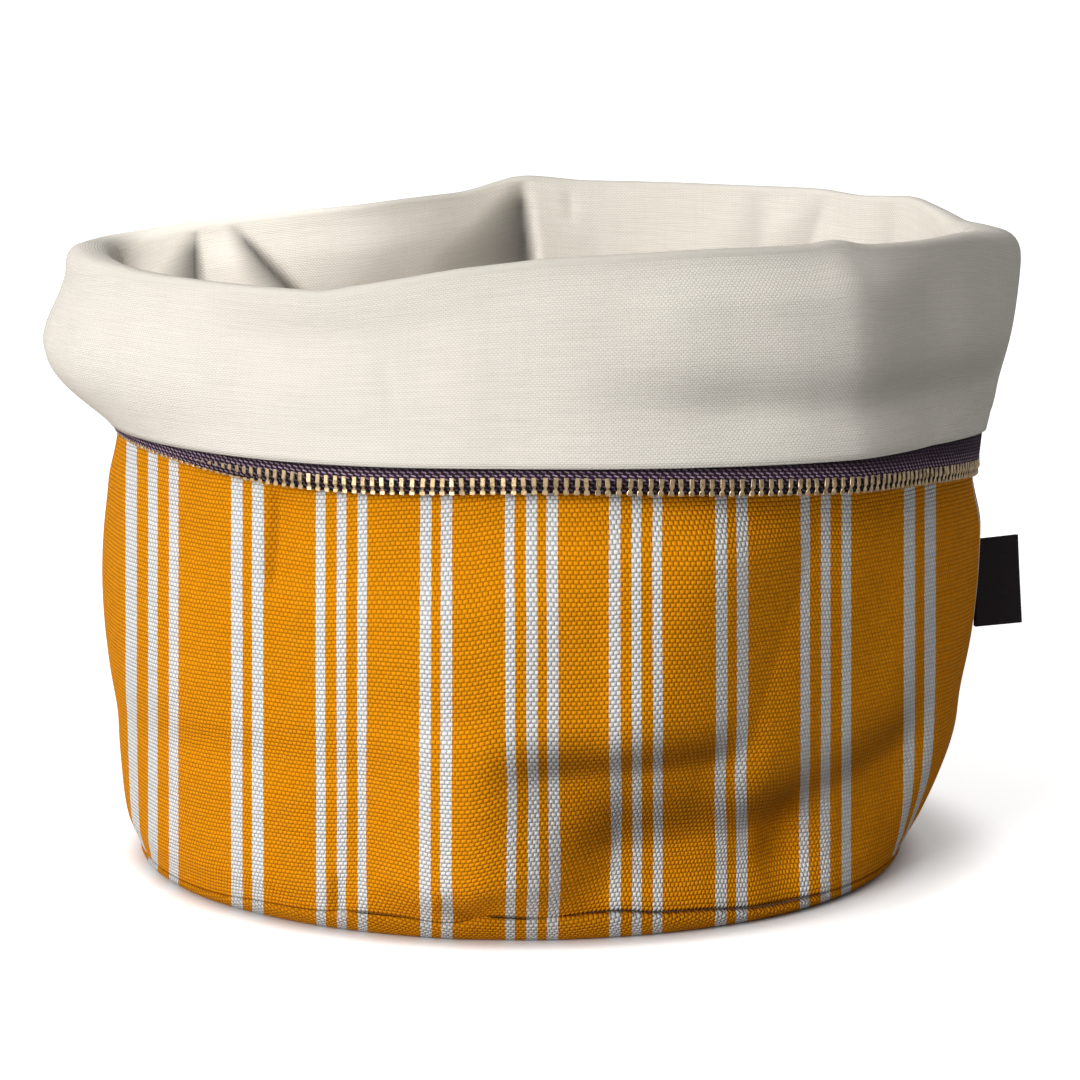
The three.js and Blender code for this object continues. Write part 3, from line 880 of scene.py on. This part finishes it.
def tape_mesh(name, half):
    """Half of the tape, from its tuck behind the hem down into the teeth."""
    def place(across, up):
        azimuth = mix(*HALVES[half], across)
        behind = cuff_at(azimuth, "behind")
        tips = cuff_at(azimuth, "zip")
        tape_end = tips - TAPE_IN_TEETH * (1.0 + TAPE_SHORTENING * behind)
        hang = mix(-TAPE_TUCK, tape_end, 1.0 - up)
        above_tips = tips - hang
        # Painted shade: a dark strip under the hem and dark tape between the teeth
        under_hem = TAPE_TOP_SHADE * fade(hang, 0.0, TAPE_TOP_HEIGHT)
        between_teeth = TAPE_GAP_SHADE * fade(above_tips, TOOTH_HEIGHT - TAPE_GAP_EDGE, TOOTH_HEIGHT)
        shade = np.maximum(under_hem, between_teeth * fade(behind, 0.0, TAPE_GAP_BEHIND))
        return on_tape(azimuth, hang), {"weave": pair(arc(azimuth), above_tips), "shade": pair(shade, shade)}

    return grid_sheet(name, COLUMNS, TAPE_ROWS, place)


def upright_edges(bm):
    return [edge for edge in bm.edges if edge.verts[0].co.z * edge.verts[1].co.z < 0.0]


def tooth_mesh():
    """One tooth, drawn from its tip at the origin up, with its face towards +Y."""
    bm = bmesh.new()
    bmesh.ops.create_cube(bm, size=2.0)
    bmesh.ops.bevel(bm, geom=upright_edges(bm), offset=TOOTH_CHAMFER, offset_type="OFFSET", affect="EDGES",
                    segments=1, profile=0.5, material=-1)
    bmesh.ops.subdivide_edges(bm, edges=upright_edges(bm), cuts=len(TOOTH) - 2, use_grid_fill=True)
    for corner in bm.verts:
        x, y, z = corner.co
        tier = TOOTH[round((z + 1.0) / 2 * (len(TOOTH) - 1))]
        corner.co = Vector((tier.half_width * x, tier.half_depth * y, tier.height)) * MM
    return mesh_from(bm, "tooth")


def teeth_mesh(name, half, tooth, pitch, sway):
    """Half of the row of teeth, each swaying a little."""
    start, end = HALVES[half]
    length = math.radians(end - start) * cuff_at(np.array([(start + end) / 2]), "edge")[0]
    count = round(length / pitch)
    azimuth = mix(start, end, (np.arange(count) + 0.5) / count)
    hang = cuff_at(azimuth, "zip")
    tips = on_teeth(azimuth, hang) * MM
    rises = on_teeth(azimuth, hang - TOOTH_HEIGHT) * MM - tips
    runs = on_teeth(azimuth + TOOTH_SLOPE_TURN, hang) - on_teeth(azimuth - TOOTH_SLOPE_TURN, hang)
    bm = bmesh.new()
    for tip, rise, run, tilt in zip(tips, rises, runs, sway.normal(0.0, TOOTH_SWAY, (count, 2))):
        z_axis = Vector(rise).normalized()
        y_axis = Vector(run).cross(z_axis).normalized()
        turn = Matrix((y_axis.cross(z_axis), y_axis, z_axis)).transposed().to_4x4()
        swaying = Matrix.Rotation(tilt[0], 4, "Y") @ Matrix.Rotation(tilt[1], 4, "Z")
        copy = tooth.copy()
        copy.transform(Matrix.Translation(tip) @ turn @ swaying)
        bm.from_mesh(copy)
        bpy.data.meshes.remove(copy)
    bmesh.ops.recalc_face_normals(bm, faces=bm.faces)
    return mesh_from(bm, name)


def label_mesh(name, label):
    """A ribbon that runs out of the seam, bends round and runs back."""
    thickness = label.thickness / MM
    reach = label.reach / MM
    bend = (LABEL_GAP + thickness) / 2
    leg = reach - bend - thickness / 2
    length = 2 * leg + math.pi * bend
    root = wall_radius(np.array([90.0]), np.array([LABEL_HEIGHT]))[0] + LABEL_CLEARANCE + LEAN

    def place(across, up):
        run = across * length
        turn = np.clip((run - leg) / bend, 0.0, math.pi)
        out = np.minimum(run, leg) + bend * np.sin(turn) - np.maximum(run - leg - math.pi * bend, 0.0)
        wave = LABEL_WAVE * (out / reach) ** 2 * np.sin(LABEL_WAVE_TURN * (up - LABEL_WAVE_START))
        side = wave - bend * np.cos(turn)
        along_seam = (up - 0.5) * label.width / MM
        x = out * (1 - LABEL_SKEW * along_seam / reach)
        points = np.stack([
            root + x * math.cos(LABEL_BACK) - side * math.sin(LABEL_BACK),
            x * math.sin(LABEL_BACK) + side * math.cos(LABEL_BACK),
            LABEL_HEIGHT + along_seam + LABEL_SKEW * out,
        ], axis=-1)
        return points, {"weave": pair(run, along_seam)}

    return grid_sheet(name, LABEL_COLUMNS, LABEL_ROWS, place)


def add_object(name, data):
    added = bpy.data.objects.new(name, data)
    bpy.context.scene.collection.objects.link(added)
    return added


def add_piece(name, mesh, material):
    """Links a mesh as the piece that stands for the node of its own name."""
    mesh.materials.append(material)
    piece = add_object(name + "_visual", mesh)
    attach(piece, "root")
    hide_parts(name)
    return piece


def add_sheet(name, mesh, material, thickness):
    """Links a mesh as a piece of cloth, half of its thickness to each side."""
    piece = add_piece(name, mesh, material)
    solid = piece.modifiers.new("thickness", "SOLIDIFY")
    solid.thickness = thickness
    solid.offset = 0.0
    return piece


# Materials

class Graph:
    """Short ways to add and join nodes in one tree."""

    def __init__(self, tree):
        self.tree = tree

    def add(self, kind, **settings):
        node = self.tree.nodes.new(kind)
        for key, value in settings.items():
            setattr(node, key, value)
        return node

    def join(self, value, socket):
        if isinstance(value, bpy.types.NodeSocket):
            self.tree.links.new(value, socket)
        else:
            socket.default_value = value

    def feed(self, node, *values):
        """Joins values to a node's first inputs and returns its first output."""
        for value, socket in zip(values, node.inputs):
            self.join(value, socket)
        return node.outputs[0]

    def math(self, operation, *values):
        return self.feed(self.add("ShaderNodeMath", operation=operation), *values)

    def vector(self, operation, *values):
        return self.feed(self.add("ShaderNodeVectorMath", operation=operation), *values)

    def ramp(self, value, span, low=0.0, high=1.0):
        node = self.add("ShaderNodeMapRange", interpolation_type="SMOOTHSTEP")
        return self.feed(node, value, *span, low, high)

    def tone(self, value, tone):
        return self.math("MULTIPLY_ADD", value, tone.swing, tone.start)

    def blend(self, share, first, second, kind="MIX"):
        node = self.add("ShaderNodeMix", data_type="RGBA", blend_type=kind)
        sockets = {socket.identifier: socket for socket in (*node.inputs, *node.outputs)}
        self.join(share, sockets["Factor_Float"])
        self.join(first, sockets["A_Color"])
        self.join(second, sockets["B_Color"])
        return sockets["Result_Color"]

    def darken(self, colour, *shares):
        for share in shares:
            colour = self.blend(1.0, colour, share, "MULTIPLY")
        return colour

    def noise(self, where, scale, detail=2.0, roughness=0.5):
        node = self.add("ShaderNodeTexNoise")
        self.join(where, node.inputs["Vector"])
        node.inputs["Scale"].default_value = scale
        node.inputs["Detail"].default_value = detail
        node.inputs["Roughness"].default_value = roughness
        return node.outputs[0]

    def grain(self, where, grain):
        stretched = self.vector("MULTIPLY", where, (grain.across, grain.along, 1.0))
        return self.noise(stretched, 1.0, grain.detail, grain.roughness)

    def uv(self, name):
        return self.add("ShaderNodeUVMap", uv_map=name).outputs[0]

    def parts(self, vector):
        node = self.add("ShaderNodeSeparateXYZ")
        self.join(vector, node.inputs[0])
        return node.outputs

    def unshaded(self):
        """Share of the light that the shade map leaves."""
        return self.math("SUBTRACT", 1.0, self.parts(self.uv("shade"))[0])

    def away(self, value, middle):
        return self.math("ABSOLUTE", self.math("SUBTRACT", value, middle))

    def bump(self, height, surface):
        node = self.add("ShaderNodeBump")
        node.inputs["Strength"].default_value = surface.strength
        node.inputs["Distance"].default_value = surface.depth
        self.join(height, node.inputs["Height"])
        return node.outputs[0]


def rgba(colour):
    return (*colour, 1.0)


def new_group(name, inputs, outputs):
    """An empty shader node group: its graph, and the sockets of what it is given and what it puts out."""
    tree = bpy.data.node_groups.new(name, "ShaderNodeTree")
    for label, kind in inputs:
        tree.interface.new_socket(label, in_out="INPUT", socket_type=kind)
    for label, kind in outputs:
        tree.interface.new_socket(label, in_out="OUTPUT", socket_type=kind)
    graph = Graph(tree)
    return graph, graph.add("NodeGroupInput").outputs, graph.add("NodeGroupOutput").inputs


def plain_weave(name):
    """Floats of a plain weave: their height, the dark gaps between them, and how they differ in shade."""
    graph, given, out = new_group(
        name,
        [("Threads", "NodeSocketVector"), ("Unevenness", "NodeSocketFloat")],
        [("Height", "NodeSocketFloat"), ("Gap", "NodeSocketFloat"), ("Shade", "NodeSocketFloat")],
    )
    wander = graph.add("ShaderNodeTexNoise")
    wander.inputs["Scale"].default_value = THREAD_WANDER
    graph.join(given["Threads"], wander.inputs["Vector"])
    shift = graph.add("ShaderNodeVectorMath", operation="SCALE")
    graph.join(graph.vector("SUBTRACT", wander.outputs["Color"], (0.5, 0.5, 0.5)), shift.inputs[0])
    graph.join(given["Unevenness"], shift.inputs["Scale"])
    u, v, _ = graph.parts(graph.vector("ADD", given["Threads"], shift.outputs[0]))
    row = graph.math("FLOOR", v)
    along_row = graph.math("MULTIPLY", graph.math("ADD", u, row), 0.5)
    swell = graph.math("ABSOLUTE", graph.math("SINE", graph.math("MULTIPLY", along_row, math.pi)))
    band = graph.math("ABSOLUTE", graph.math("SINE", graph.math("MULTIPLY", v, math.pi)))
    lump = graph.math("MULTIPLY", swell, band)
    graph.join(graph.math("SQRT", lump), out["Height"])
    graph.join(graph.ramp(lump, GAP_RAMP, 1.0, 0.0), out["Gap"])
    cell = graph.add("ShaderNodeCombineXYZ")
    single = graph.add("ShaderNodeTexWhiteNoise", noise_dimensions="2D")
    graph.join(graph.feed(cell, graph.math("FLOOR", along_row), row), single.inputs["Vector"])
    streak = graph.math("MULTIPLY", graph.grain(given["Threads"], WEAVE_STREAKS), 1.0 - SINGLE_SHARE)
    graph.join(graph.math("MULTIPLY_ADD", single.outputs[0], SINGLE_SHARE, streak), out["Shade"])
    return graph.tree


def weave(graph, pitches, unevenness):
    """Threads at the given distances in millimetres, and what the plain weave puts out for them."""
    threads = graph.vector("MULTIPLY", graph.uv("weave"), (1.0 / pitches[0], 1.0 / pitches[1], 1.0))
    tree = bpy.data.node_groups.get("plain weave") or plain_weave("plain weave")
    node = graph.add("ShaderNodeGroup", node_tree=tree)
    graph.join(threads, node.inputs["Threads"])
    node.inputs["Unevenness"].default_value = unevenness
    return threads, node.outputs


def shared_material(name, make, settings):
    """The material of a name, made when it is first needed."""
    return bpy.data.materials.get(name) or make(name, settings)


def new_material(name, surface):
    material = bpy.data.materials.new(name)
    material.use_nodes = True
    shader = material.node_tree.nodes["Principled BSDF"]
    shader.inputs["Roughness"].default_value = surface.roughness
    shader.inputs["Specular IOR Level"].default_value = surface.shine
    return material, Graph(material.node_tree), shader.inputs


def stripe_mask(graph, place):
    """White on the stripes and black between them, at shares of a repeat."""
    stripes = graph.add("ShaderNodeValToRGB")
    stripes.color_ramp.interpolation = "CONSTANT"
    points = stripes.color_ramp.elements
    while len(points) > 1:
        points.remove(points[-1])
    points[0].position = 0.0
    points[0].color = WHITE
    for start in STRIPE_STARTS:
        if start:
            points.new(start / STRIPE_REPEAT).color = WHITE
        points.new((start + 1) / STRIPE_REPEAT).color = BLACK
    return graph.feed(stripes, graph.math("FRACT", place))


def striped_canvas(name, cloth):
    material, graph, shader = new_material(name, CANVAS)
    threads, floats = weave(graph, (cloth.warp_pitch / MM, cloth.weft_pitch / MM), CANVAS_UNEVENNESS)
    waver = graph.math("SUBTRACT", graph.grain(threads, STRIPE_EDGES), 0.5)
    across = graph.math("MULTIPLY_ADD", waver, STRIPE_WAVER, graph.parts(graph.uv("stripe"))[0])
    repeat = STRIPE_REPEAT * cloth.stripe_width / MM
    place = graph.math("DIVIDE", graph.math("SUBTRACT", across, STRIPE_FIRST), repeat)
    dyed = graph.blend(stripe_mask(graph, place), rgba(cloth.canvas_colour), rgba(cloth.stripe_colour))
    gaps = graph.tone(floats["Gap"], CANVAS_GAPS)
    differing = graph.tone(floats["Shade"], CANVAS_THREADS)
    graph.join(graph.darken(dyed, gaps, differing, graph.unshaded()), shader["Base Color"])
    graph.join(graph.bump(floats["Height"], CANVAS), shader["Normal"])
    return material


def cotton_lining(name, cloth):
    material, graph, shader = new_material(name, LINING)
    pitch = cloth.lining_pitch / MM
    _, floats = weave(graph, (pitch, pitch), LINING_UNEVENNESS)
    where = graph.uv("weave")
    slub = graph.grain(where, SLUBS)
    patch = graph.ramp(graph.grain(where, LINING_PATCHES), LINING_WARM_RAMP)
    undyed = graph.blend(patch, rgba(cloth.lining_colour), rgba(cloth.lining_warm_colour))
    slubs = graph.tone(slub, LINING_SLUBS)
    uprights = graph.tone(graph.grain(where, UPRIGHTS), LINING_UPRIGHTS)
    gaps = graph.tone(floats["Gap"], LINING_GAPS)
    graph.join(graph.darken(undyed, slubs, uprights, gaps, graph.unshaded()), shader["Base Color"])
    relief = graph.math("MULTIPLY_ADD", floats["Height"], LINING_WEAVE_RELIEF, slub)
    graph.join(graph.bump(relief, LINING), shader["Normal"])
    return material


def zip_tape(name, zipper):
    """Slanting flecks in rows, each row half a stitch along from the last, and clearest near the teeth."""
    material, graph, shader = new_material(name, TAPE)
    where = graph.uv("weave")
    u, v, _ = graph.parts(where)
    rows = graph.math("DIVIDE", v, TAPE_ROW)
    offset = graph.math("MULTIPLY", graph.math("FLOOR", rows), 0.5)
    run = graph.math("FRACT", graph.math("MULTIPLY_ADD", u, 1.0 / TAPE_STITCH, offset))
    lean = graph.math("MULTIPLY_ADD", graph.math("SUBTRACT", run, 0.5), TAPE_LEAN, graph.math("FRACT", rows))
    across = graph.ramp(graph.away(lean, 0.5), FLECK_WIDTH_RAMP, 1.0, 0.0)
    length = graph.ramp(graph.away(run, 0.5), FLECK_LENGTH_RAMP, 1.0, 0.0)
    stitch = graph.math("MULTIPLY", across, length)
    patchy = graph.ramp(graph.grain(where, TAPE_PATCHES), FLECK_PATCH_RAMP)
    near_teeth = graph.ramp(v, FLECK_HEIGHT_RAMP, FLECK_TOP_SHARE, 1.0)
    fleck = graph.math("MULTIPLY", graph.math("MULTIPLY", stitch, patchy), near_teeth)
    woven = graph.blend(fleck, rgba(zipper.tape_colour), rgba(zipper.fleck_colour))
    graph.join(graph.darken(woven, graph.unshaded()), shader["Base Color"])
    graph.join(graph.bump(stitch, TAPE), shader["Normal"])
    return material


def zip_brass(name, zipper):
    material, graph, shader = new_material(name, BRASS)
    shader["Metallic"].default_value = BRASS_METALLIC
    where = graph.add("ShaderNodeTexCoord").outputs["Object"]
    tarnish = graph.ramp(graph.noise(where, TARNISH_SCALE, TARNISH_DETAIL), TARNISH_RAMP)
    dull = rgba(TARNISH_SHARE * part for part in zipper.metal_colour)
    graph.join(graph.blend(tarnish, rgba(zipper.metal_colour), dull), shader["Base Color"])
    graph.join(graph.tone(tarnish, BRASS_ROUGHNESS), shader["Roughness"])
    graph.join(graph.bump(graph.noise(where, SCRATCH_SCALE), BRASS), shader["Normal"])
    return material


def label_ribbon(name, label):
    material, graph, shader = new_material(name, RIBBON)
    _, floats = weave(graph, (RIBBON_PITCH, RIBBON_PITCH), RIBBON_UNEVENNESS)
    differing = graph.tone(floats["Shade"], RIBBON_THREADS)
    graph.join(graph.darken(rgba(label.colour), differing), shader["Base Color"])
    graph.join(graph.bump(floats["Height"], RIBBON), shader["Normal"])
    return material


def pale_floor(name, stage):
    """White ground in the picture with a painted shadow under the bag, and a plain pale floor for the light.
    """
    material, graph, shader = new_material(name, FLOOR)
    shader["Emission Strength"].default_value = 1.0
    seen = graph.add("ShaderNodeLightPath").outputs["Is Camera Ray"]
    colour = graph.blend(seen, rgba(stage.floor_bounce), rgba(stage.floor_colour))
    graph.join(colour, shader["Base Color"])
    where = graph.add("ShaderNodeTexCoord").outputs["Object"]
    glow = rgba(stage.floor_glow)
    for shade in FLOOR_SHADES:
        away = graph.add("ShaderNodeVectorMath", operation="DISTANCE")
        graph.feed(away, where, Vector(shade.middle) * MM)
        ring = (shade.inner * MM, shade.outer * MM)
        glow = graph.darken(glow, graph.ramp(away.outputs["Value"], ring, shade.glow, 1.0))
    graph.join(graph.blend(seen, BLACK, glow), shader["Emission Color"])
    return material


# Pieces

class BREADBAG_OT_canvas_walls(Operator):
    """Makes the front and back halves of the striped canvas"""
    bl_idname = "bread_bag.canvas_walls"
    bl_label = "Canvas Walls"

    def execute(self, context):
        cloth = context.scene.bread_bag_cloth
        material = shared_material("striped canvas", striped_canvas, cloth)
        middle = LAYER_GAP / 2 + cloth.canvas_thickness / MM / 2
        for half in HALVES:
            name = "canvas_" + half
            mesh = wall_sheet(name, half, middle, CANVAS_END, canvas_maps)
            piece = add_sheet(name, mesh, material, cloth.canvas_thickness)
        return {"FINISHED"}


class BREADBAG_OT_lining_walls(Operator):
    """Makes the front and back halves of the lining, with the cuff that turns down outside"""
    bl_idname = "bread_bag.lining_walls"
    bl_label = "Lining Walls"

    def execute(self, context):
        cloth = context.scene.bread_bag_cloth
        material = shared_material("cotton lining", cotton_lining, cloth)
        middle = -LAYER_GAP / 2 - cloth.lining_thickness / MM / 2
        for half in HALVES:
            name = "lining_" + half
            mesh = wall_sheet(name, half, middle, CUFF_END, lining_maps)
            piece = add_sheet(name, mesh, material, cloth.lining_thickness)
        return {"FINISHED"}


class BREADBAG_OT_bases(Operator):
    """Makes the round canvas base and the lining base on it"""
    bl_idname = "bread_bag.bases"
    bl_label = "Bases"

    def execute(self, context):
        cloth = context.scene.bread_bag_cloth
        canvas = cloth.canvas_thickness / MM
        lining = cloth.lining_thickness / MM
        mesh = base_mesh("canvas_base", canvas / 2)
        material = shared_material("striped canvas", striped_canvas, cloth)
        piece = add_sheet("canvas_base", mesh, material, cloth.canvas_thickness)
        mesh = base_mesh("lining_base", canvas + LAYER_GAP + lining / 2)
        material = shared_material("cotton lining", cotton_lining, cloth)
        piece = add_sheet("lining_base", mesh, material, cloth.lining_thickness)
        return {"FINISHED"}


class BREADBAG_OT_zip_tapes(Operator):
    """Makes the woven tapes that hang from the cuff's hem"""
    bl_idname = "bread_bag.zip_tapes"
    bl_label = "Zip Tapes"

    def execute(self, context):
        zipper = context.scene.bread_bag_zip
        material = shared_material("zip tape", zip_tape, zipper)
        for half in HALVES:
            name = "zip_tape_" + half
            piece = add_sheet(name, tape_mesh(name, half), material, zipper.tape_thickness)
        return {"FINISHED"}


class BREADBAG_OT_zip_teeth(Operator):
    """Makes the rows of brass teeth along the tapes"""
    bl_idname = "bread_bag.zip_teeth"
    bl_label = "Zip Teeth"

    def execute(self, context):
        zipper = context.scene.bread_bag_zip
        material = shared_material("zip brass", zip_brass, zipper)
        sway = np.random.default_rng(TOOTH_SWAY_SEED)
        tooth = tooth_mesh()
        for half in HALVES:
            name = "zip_teeth_" + half
            mesh = teeth_mesh(name, half, tooth, zipper.tooth_pitch / MM, sway)
            add_piece(name, mesh, material)
        bpy.data.meshes.remove(tooth)
        return {"FINISHED"}


class BREADBAG_OT_side_label(Operator):
    """Makes the bare ribbon label, folded in half with its ends in the right side seam"""
    bl_idname = "bread_bag.side_label"
    bl_label = "Side Label"

    def execute(self, context):
        label = context.scene.bread_bag_label
        material = shared_material("label ribbon", label_ribbon, label)
        mesh = label_mesh("side_label", label)
        piece = add_sheet("side_label", mesh, material, label.thickness)
        return {"FINISHED"}


# Stage

def add_floor(stage):
    bm = bmesh.new()
    bmesh.ops.create_grid(bm, x_segments=1, y_segments=1, size=FLOOR_HALF * MM)
    mesh = mesh_from(bm, "floor")
    mesh.materials.append(shared_material("pale floor", pale_floor, stage))
    add_object("floor", mesh)


def add_lamp(name, light, azimuth, height):
    lamp = add_object(name, light)
    lamp.rotation_euler = (math.radians(90.0 - height), 0.0, math.radians(azimuth))
    return lamp


def add_lights(stage):
    light = bpy.data.lights.new("key light", "SUN")
    light.energy = stage.key_light
    light.angle = stage.key_softness
    add_lamp("key light", light, KEY_AZIMUTH, KEY_HEIGHT)

    light = bpy.data.lights.new("mouth light", "SPOT")
    light.energy = stage.mouth_light
    light.spot_size = stage.mouth_cone
    light.spot_blend = MOUTH_SOFT_EDGE
    light.shadow_soft_size = MOUTH_LAMP_RADIUS * MM
    lamp = add_lamp("mouth light", light, MOUTH_AZIMUTH, MOUTH_HEIGHT)
    back = lamp.rotation_euler.to_matrix() @ Vector((0.0, 0.0, MOUTH_DISTANCE))
    lamp.location = (Vector(MOUTH_AIM) + back) * MM


def studio_world(stage):
    """Even light from above, and a broad one from the left."""
    world = bpy.data.worlds.new("studio")
    world.use_nodes = True
    graph = Graph(world.node_tree)
    right, _, up = graph.parts(graph.add("ShaderNodeTexCoord").outputs["Generated"])
    side = graph.ramp(right, SIDE_RAMP, 0.0, stage.side_light)
    sky = graph.ramp(up, SKY_RAMP, stage.room_light, stage.top_light)
    background = world.node_tree.nodes["Background"].inputs
    background["Color"].default_value = WHITE
    graph.join(graph.math("ADD", side, sky), background["Strength"])
    return world


def add_camera():
    lens = bpy.data.cameras.new("camera")
    lens.lens = CAMERA_LENS
    lens.sensor_width = CAMERA_SENSOR
    lens.clip_start = CAMERA_NEAR * MM
    lens.clip_end = CAMERA_FAR * MM
    camera = add_object("camera", lens)
    camera.location = Vector(CAMERA_PLACE) * MM
    camera.rotation_euler = (math.radians(90.0 - CAMERA_PITCH), 0.0, 0.0)
    return camera


class BREADBAG_OT_stage(Operator):
    """Makes the floor, the lights and the camera"""
    bl_idname = "bread_bag.stage"
    bl_label = "Stage"

    def execute(self, context):
        scene = context.scene
        add_floor(scene.bread_bag_stage)
        add_lights(scene.bread_bag_stage)
        scene.world = studio_world(scene.bread_bag_stage)
        scene.view_settings.view_transform = "Standard"
        scene.camera = add_camera()
        return {"FINISHED"}


class BREADBAG_PT_panel(Panel):
    """Lists the bread bag's sizes, colours and steps"""
    bl_idname = "BREADBAG_PT_panel"
    bl_label = "Bread Bag"
    bl_space_type = "VIEW_3D"
    bl_region_type = "UI"
    bl_category = "Bread Bag"

    def draw(self, context):
        for settings in SETTINGS:
            group = getattr(context.scene, settings)
            box = self.layout.box()
            for name in group.__annotations__:
                box.prop(group, name)
        for step in STEPS:
            self.layout.operator(step.bl_idname)


SETTINGS = {
    "bread_bag_cloth": BreadBagCloth,
    "bread_bag_zip": BreadBagZip,
    "bread_bag_label": BreadBagLabel,
    "bread_bag_stage": BreadBagStage,
}
STEPS = (
    BREADBAG_OT_canvas_walls,
    BREADBAG_OT_lining_walls,
    BREADBAG_OT_bases,
    BREADBAG_OT_zip_tapes,
    BREADBAG_OT_zip_teeth,
    BREADBAG_OT_side_label,
    BREADBAG_OT_stage,
)
CLASSES = (*SETTINGS.values(), *STEPS, BREADBAG_PT_panel)


def register():
    for cls in CLASSES:
        bpy.utils.register_class(cls)
    for name, settings in SETTINGS.items():
        setattr(bpy.types.Scene, name, PointerProperty(type=settings))


def unregister():
    for name in SETTINGS:
        delattr(bpy.types.Scene, name)
    for cls in reversed(CLASSES):
        bpy.utils.unregister_class(cls)


def main():
    register()
    for step in STEPS:
        family, name = step.bl_idname.split(".")
        getattr(getattr(bpy.ops, family), name)()


if __name__ == "__main__":
    main()
